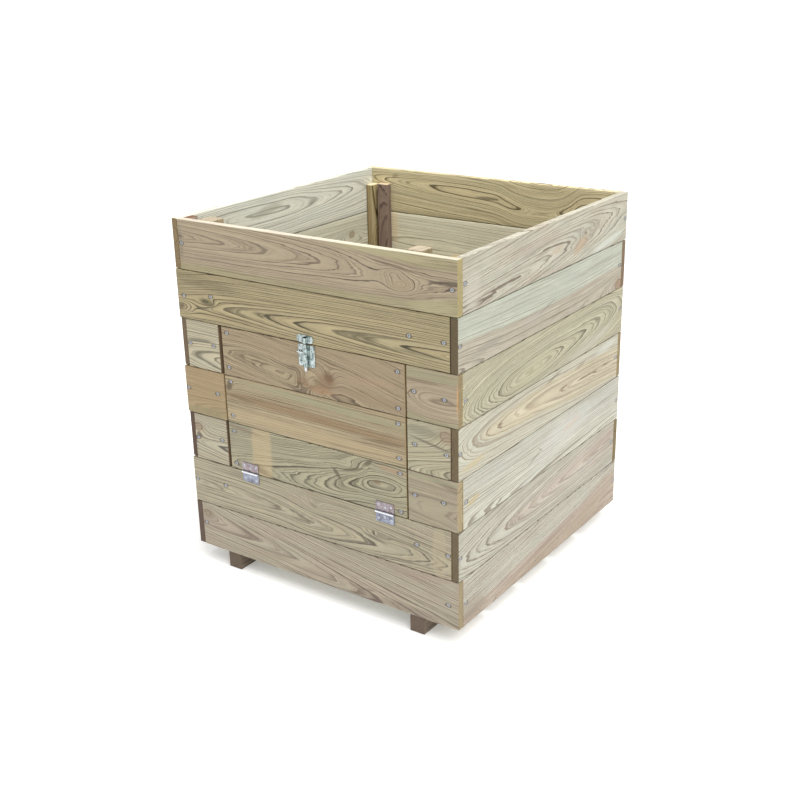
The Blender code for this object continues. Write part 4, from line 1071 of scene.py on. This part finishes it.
LEAF_TONES = dict(base=(150, 160, 178), dark=(84, 92, 110), warm=(180, 122, 70), metallic=0.65)
CASE = zinc("zinc_case", base=(206, 220, 218), dark=(72, 86, 86), tarnish_and_reflection_amount=0.0, rough=0.30)
ROD = zinc("zinc_rod", base=(224, 228, 230), dark=(176, 182, 188), rough=0.24)
for side in ("left", "right"):
    for part in ("fixed_leaf", "hatch_leaf", "pin"):
        o = frame["nodes"][f"hinge_{side}_{part}"]
        if part == "pin":
            o.material_slots[0].material = ROD
            continue
        axis_z = (o.matrix_world.inverted() @ world(196.0, -3.2, 241.8)).z / MM
        # the hatch leaf's stronger warm patches are mostly a painted reflection of the wood
        o.material_slots[0].material = zinc(f"zinc_{side}_{part}", painted_knuckle_highlight_z=axis_z, tarnish_and_reflection_amount=0.62 if part == "hatch_leaf" else 0.14, **LEAF_TONES)
for part, metal in (("bolt_housing", CASE), ("bolt_keeper", CASE), ("bolt_rod", ROD)):
    frame["nodes"][part].material_slots[0].material = metal

# ---------------------------------------------------------------- stage
floor_bm = bmesh.new()
bmesh.ops.create_grid(floor_bm, x_segments=1, y_segments=1, size=60.0)
floor = object_of("floor", floor_bm)
g = Net("floor_paper")
g.bsdf.inputs["Base Color"].default_value = (0.97, 0.97, 0.97, 1.0)
g.bsdf.inputs["Roughness"].default_value = 0.9
g.bsdf.inputs["Specular IOR Level"].default_value = 0.1
g.bsdf.inputs["Emission Color"].default_value = (1.0, 1.0, 1.0, 1.0)
g.bsdf.inputs["Emission Strength"].default_value = 0.22
floor.data.materials.append(g.mat)
floor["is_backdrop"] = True

scene = bpy.context.scene
sky = bpy.data.worlds.new("studio")
sky.use_nodes = True
scene.world = sky
backdrop = sky.node_tree.nodes["Background"]
backdrop.inputs[0].default_value = (1.0, 1.0, 1.0, 1.0)
backdrop.inputs[1].default_value = 0.62


def lamp(name, kind, energy, direction, colour=(1, 1, 1), **props):
    data = bpy.data.lights.new(name, kind)
    data.energy = energy
    data.color = colour
    for key, value in props.items():
        setattr(data, key, value)
    obj = bpy.data.objects.new(name, data)
    scene.collection.objects.link(obj)
    obj.rotation_mode = "QUATERNION"
    obj.rotation_quaternion = (-Vector(direction)).to_track_quat("-Z", "Y")
    return obj


lamp("key", "SUN", 2.2, (0.9, -0.35, 1.3), (1.0, 0.99, 0.97), angle=math.radians(50))
top = lamp("top_softbox", "AREA", 32.0, (0, 0, 1), (1.0, 1.0, 1.0), shape="SQUARE", size=1.1)
top.location = (0.0, 0.0, 2.3)

camera = bpy.data.cameras.new("camera")
camera.sensor_width = 36.0
camera.lens = 53.04
camera.clip_start, camera.clip_end = 0.05, 200.0
eye = bpy.data.objects.new("camera", camera)
scene.collection.objects.link(eye)
turn = Vector((1.87463492, 0.574983691, -0.424008040))
R = Matrix.Rotation(turn.length, 3, turn.normalized())  # row frame to camera: right, down, forward
eye.matrix_world = frame_matrix(Vector((1.60696, -2.30222, 1.46654)), R[0], -R[1], -R[2])
scene.camera = eye
scene.view_settings.view_transform = "Standard"
scene.view_settings.look = "None"

lo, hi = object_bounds()
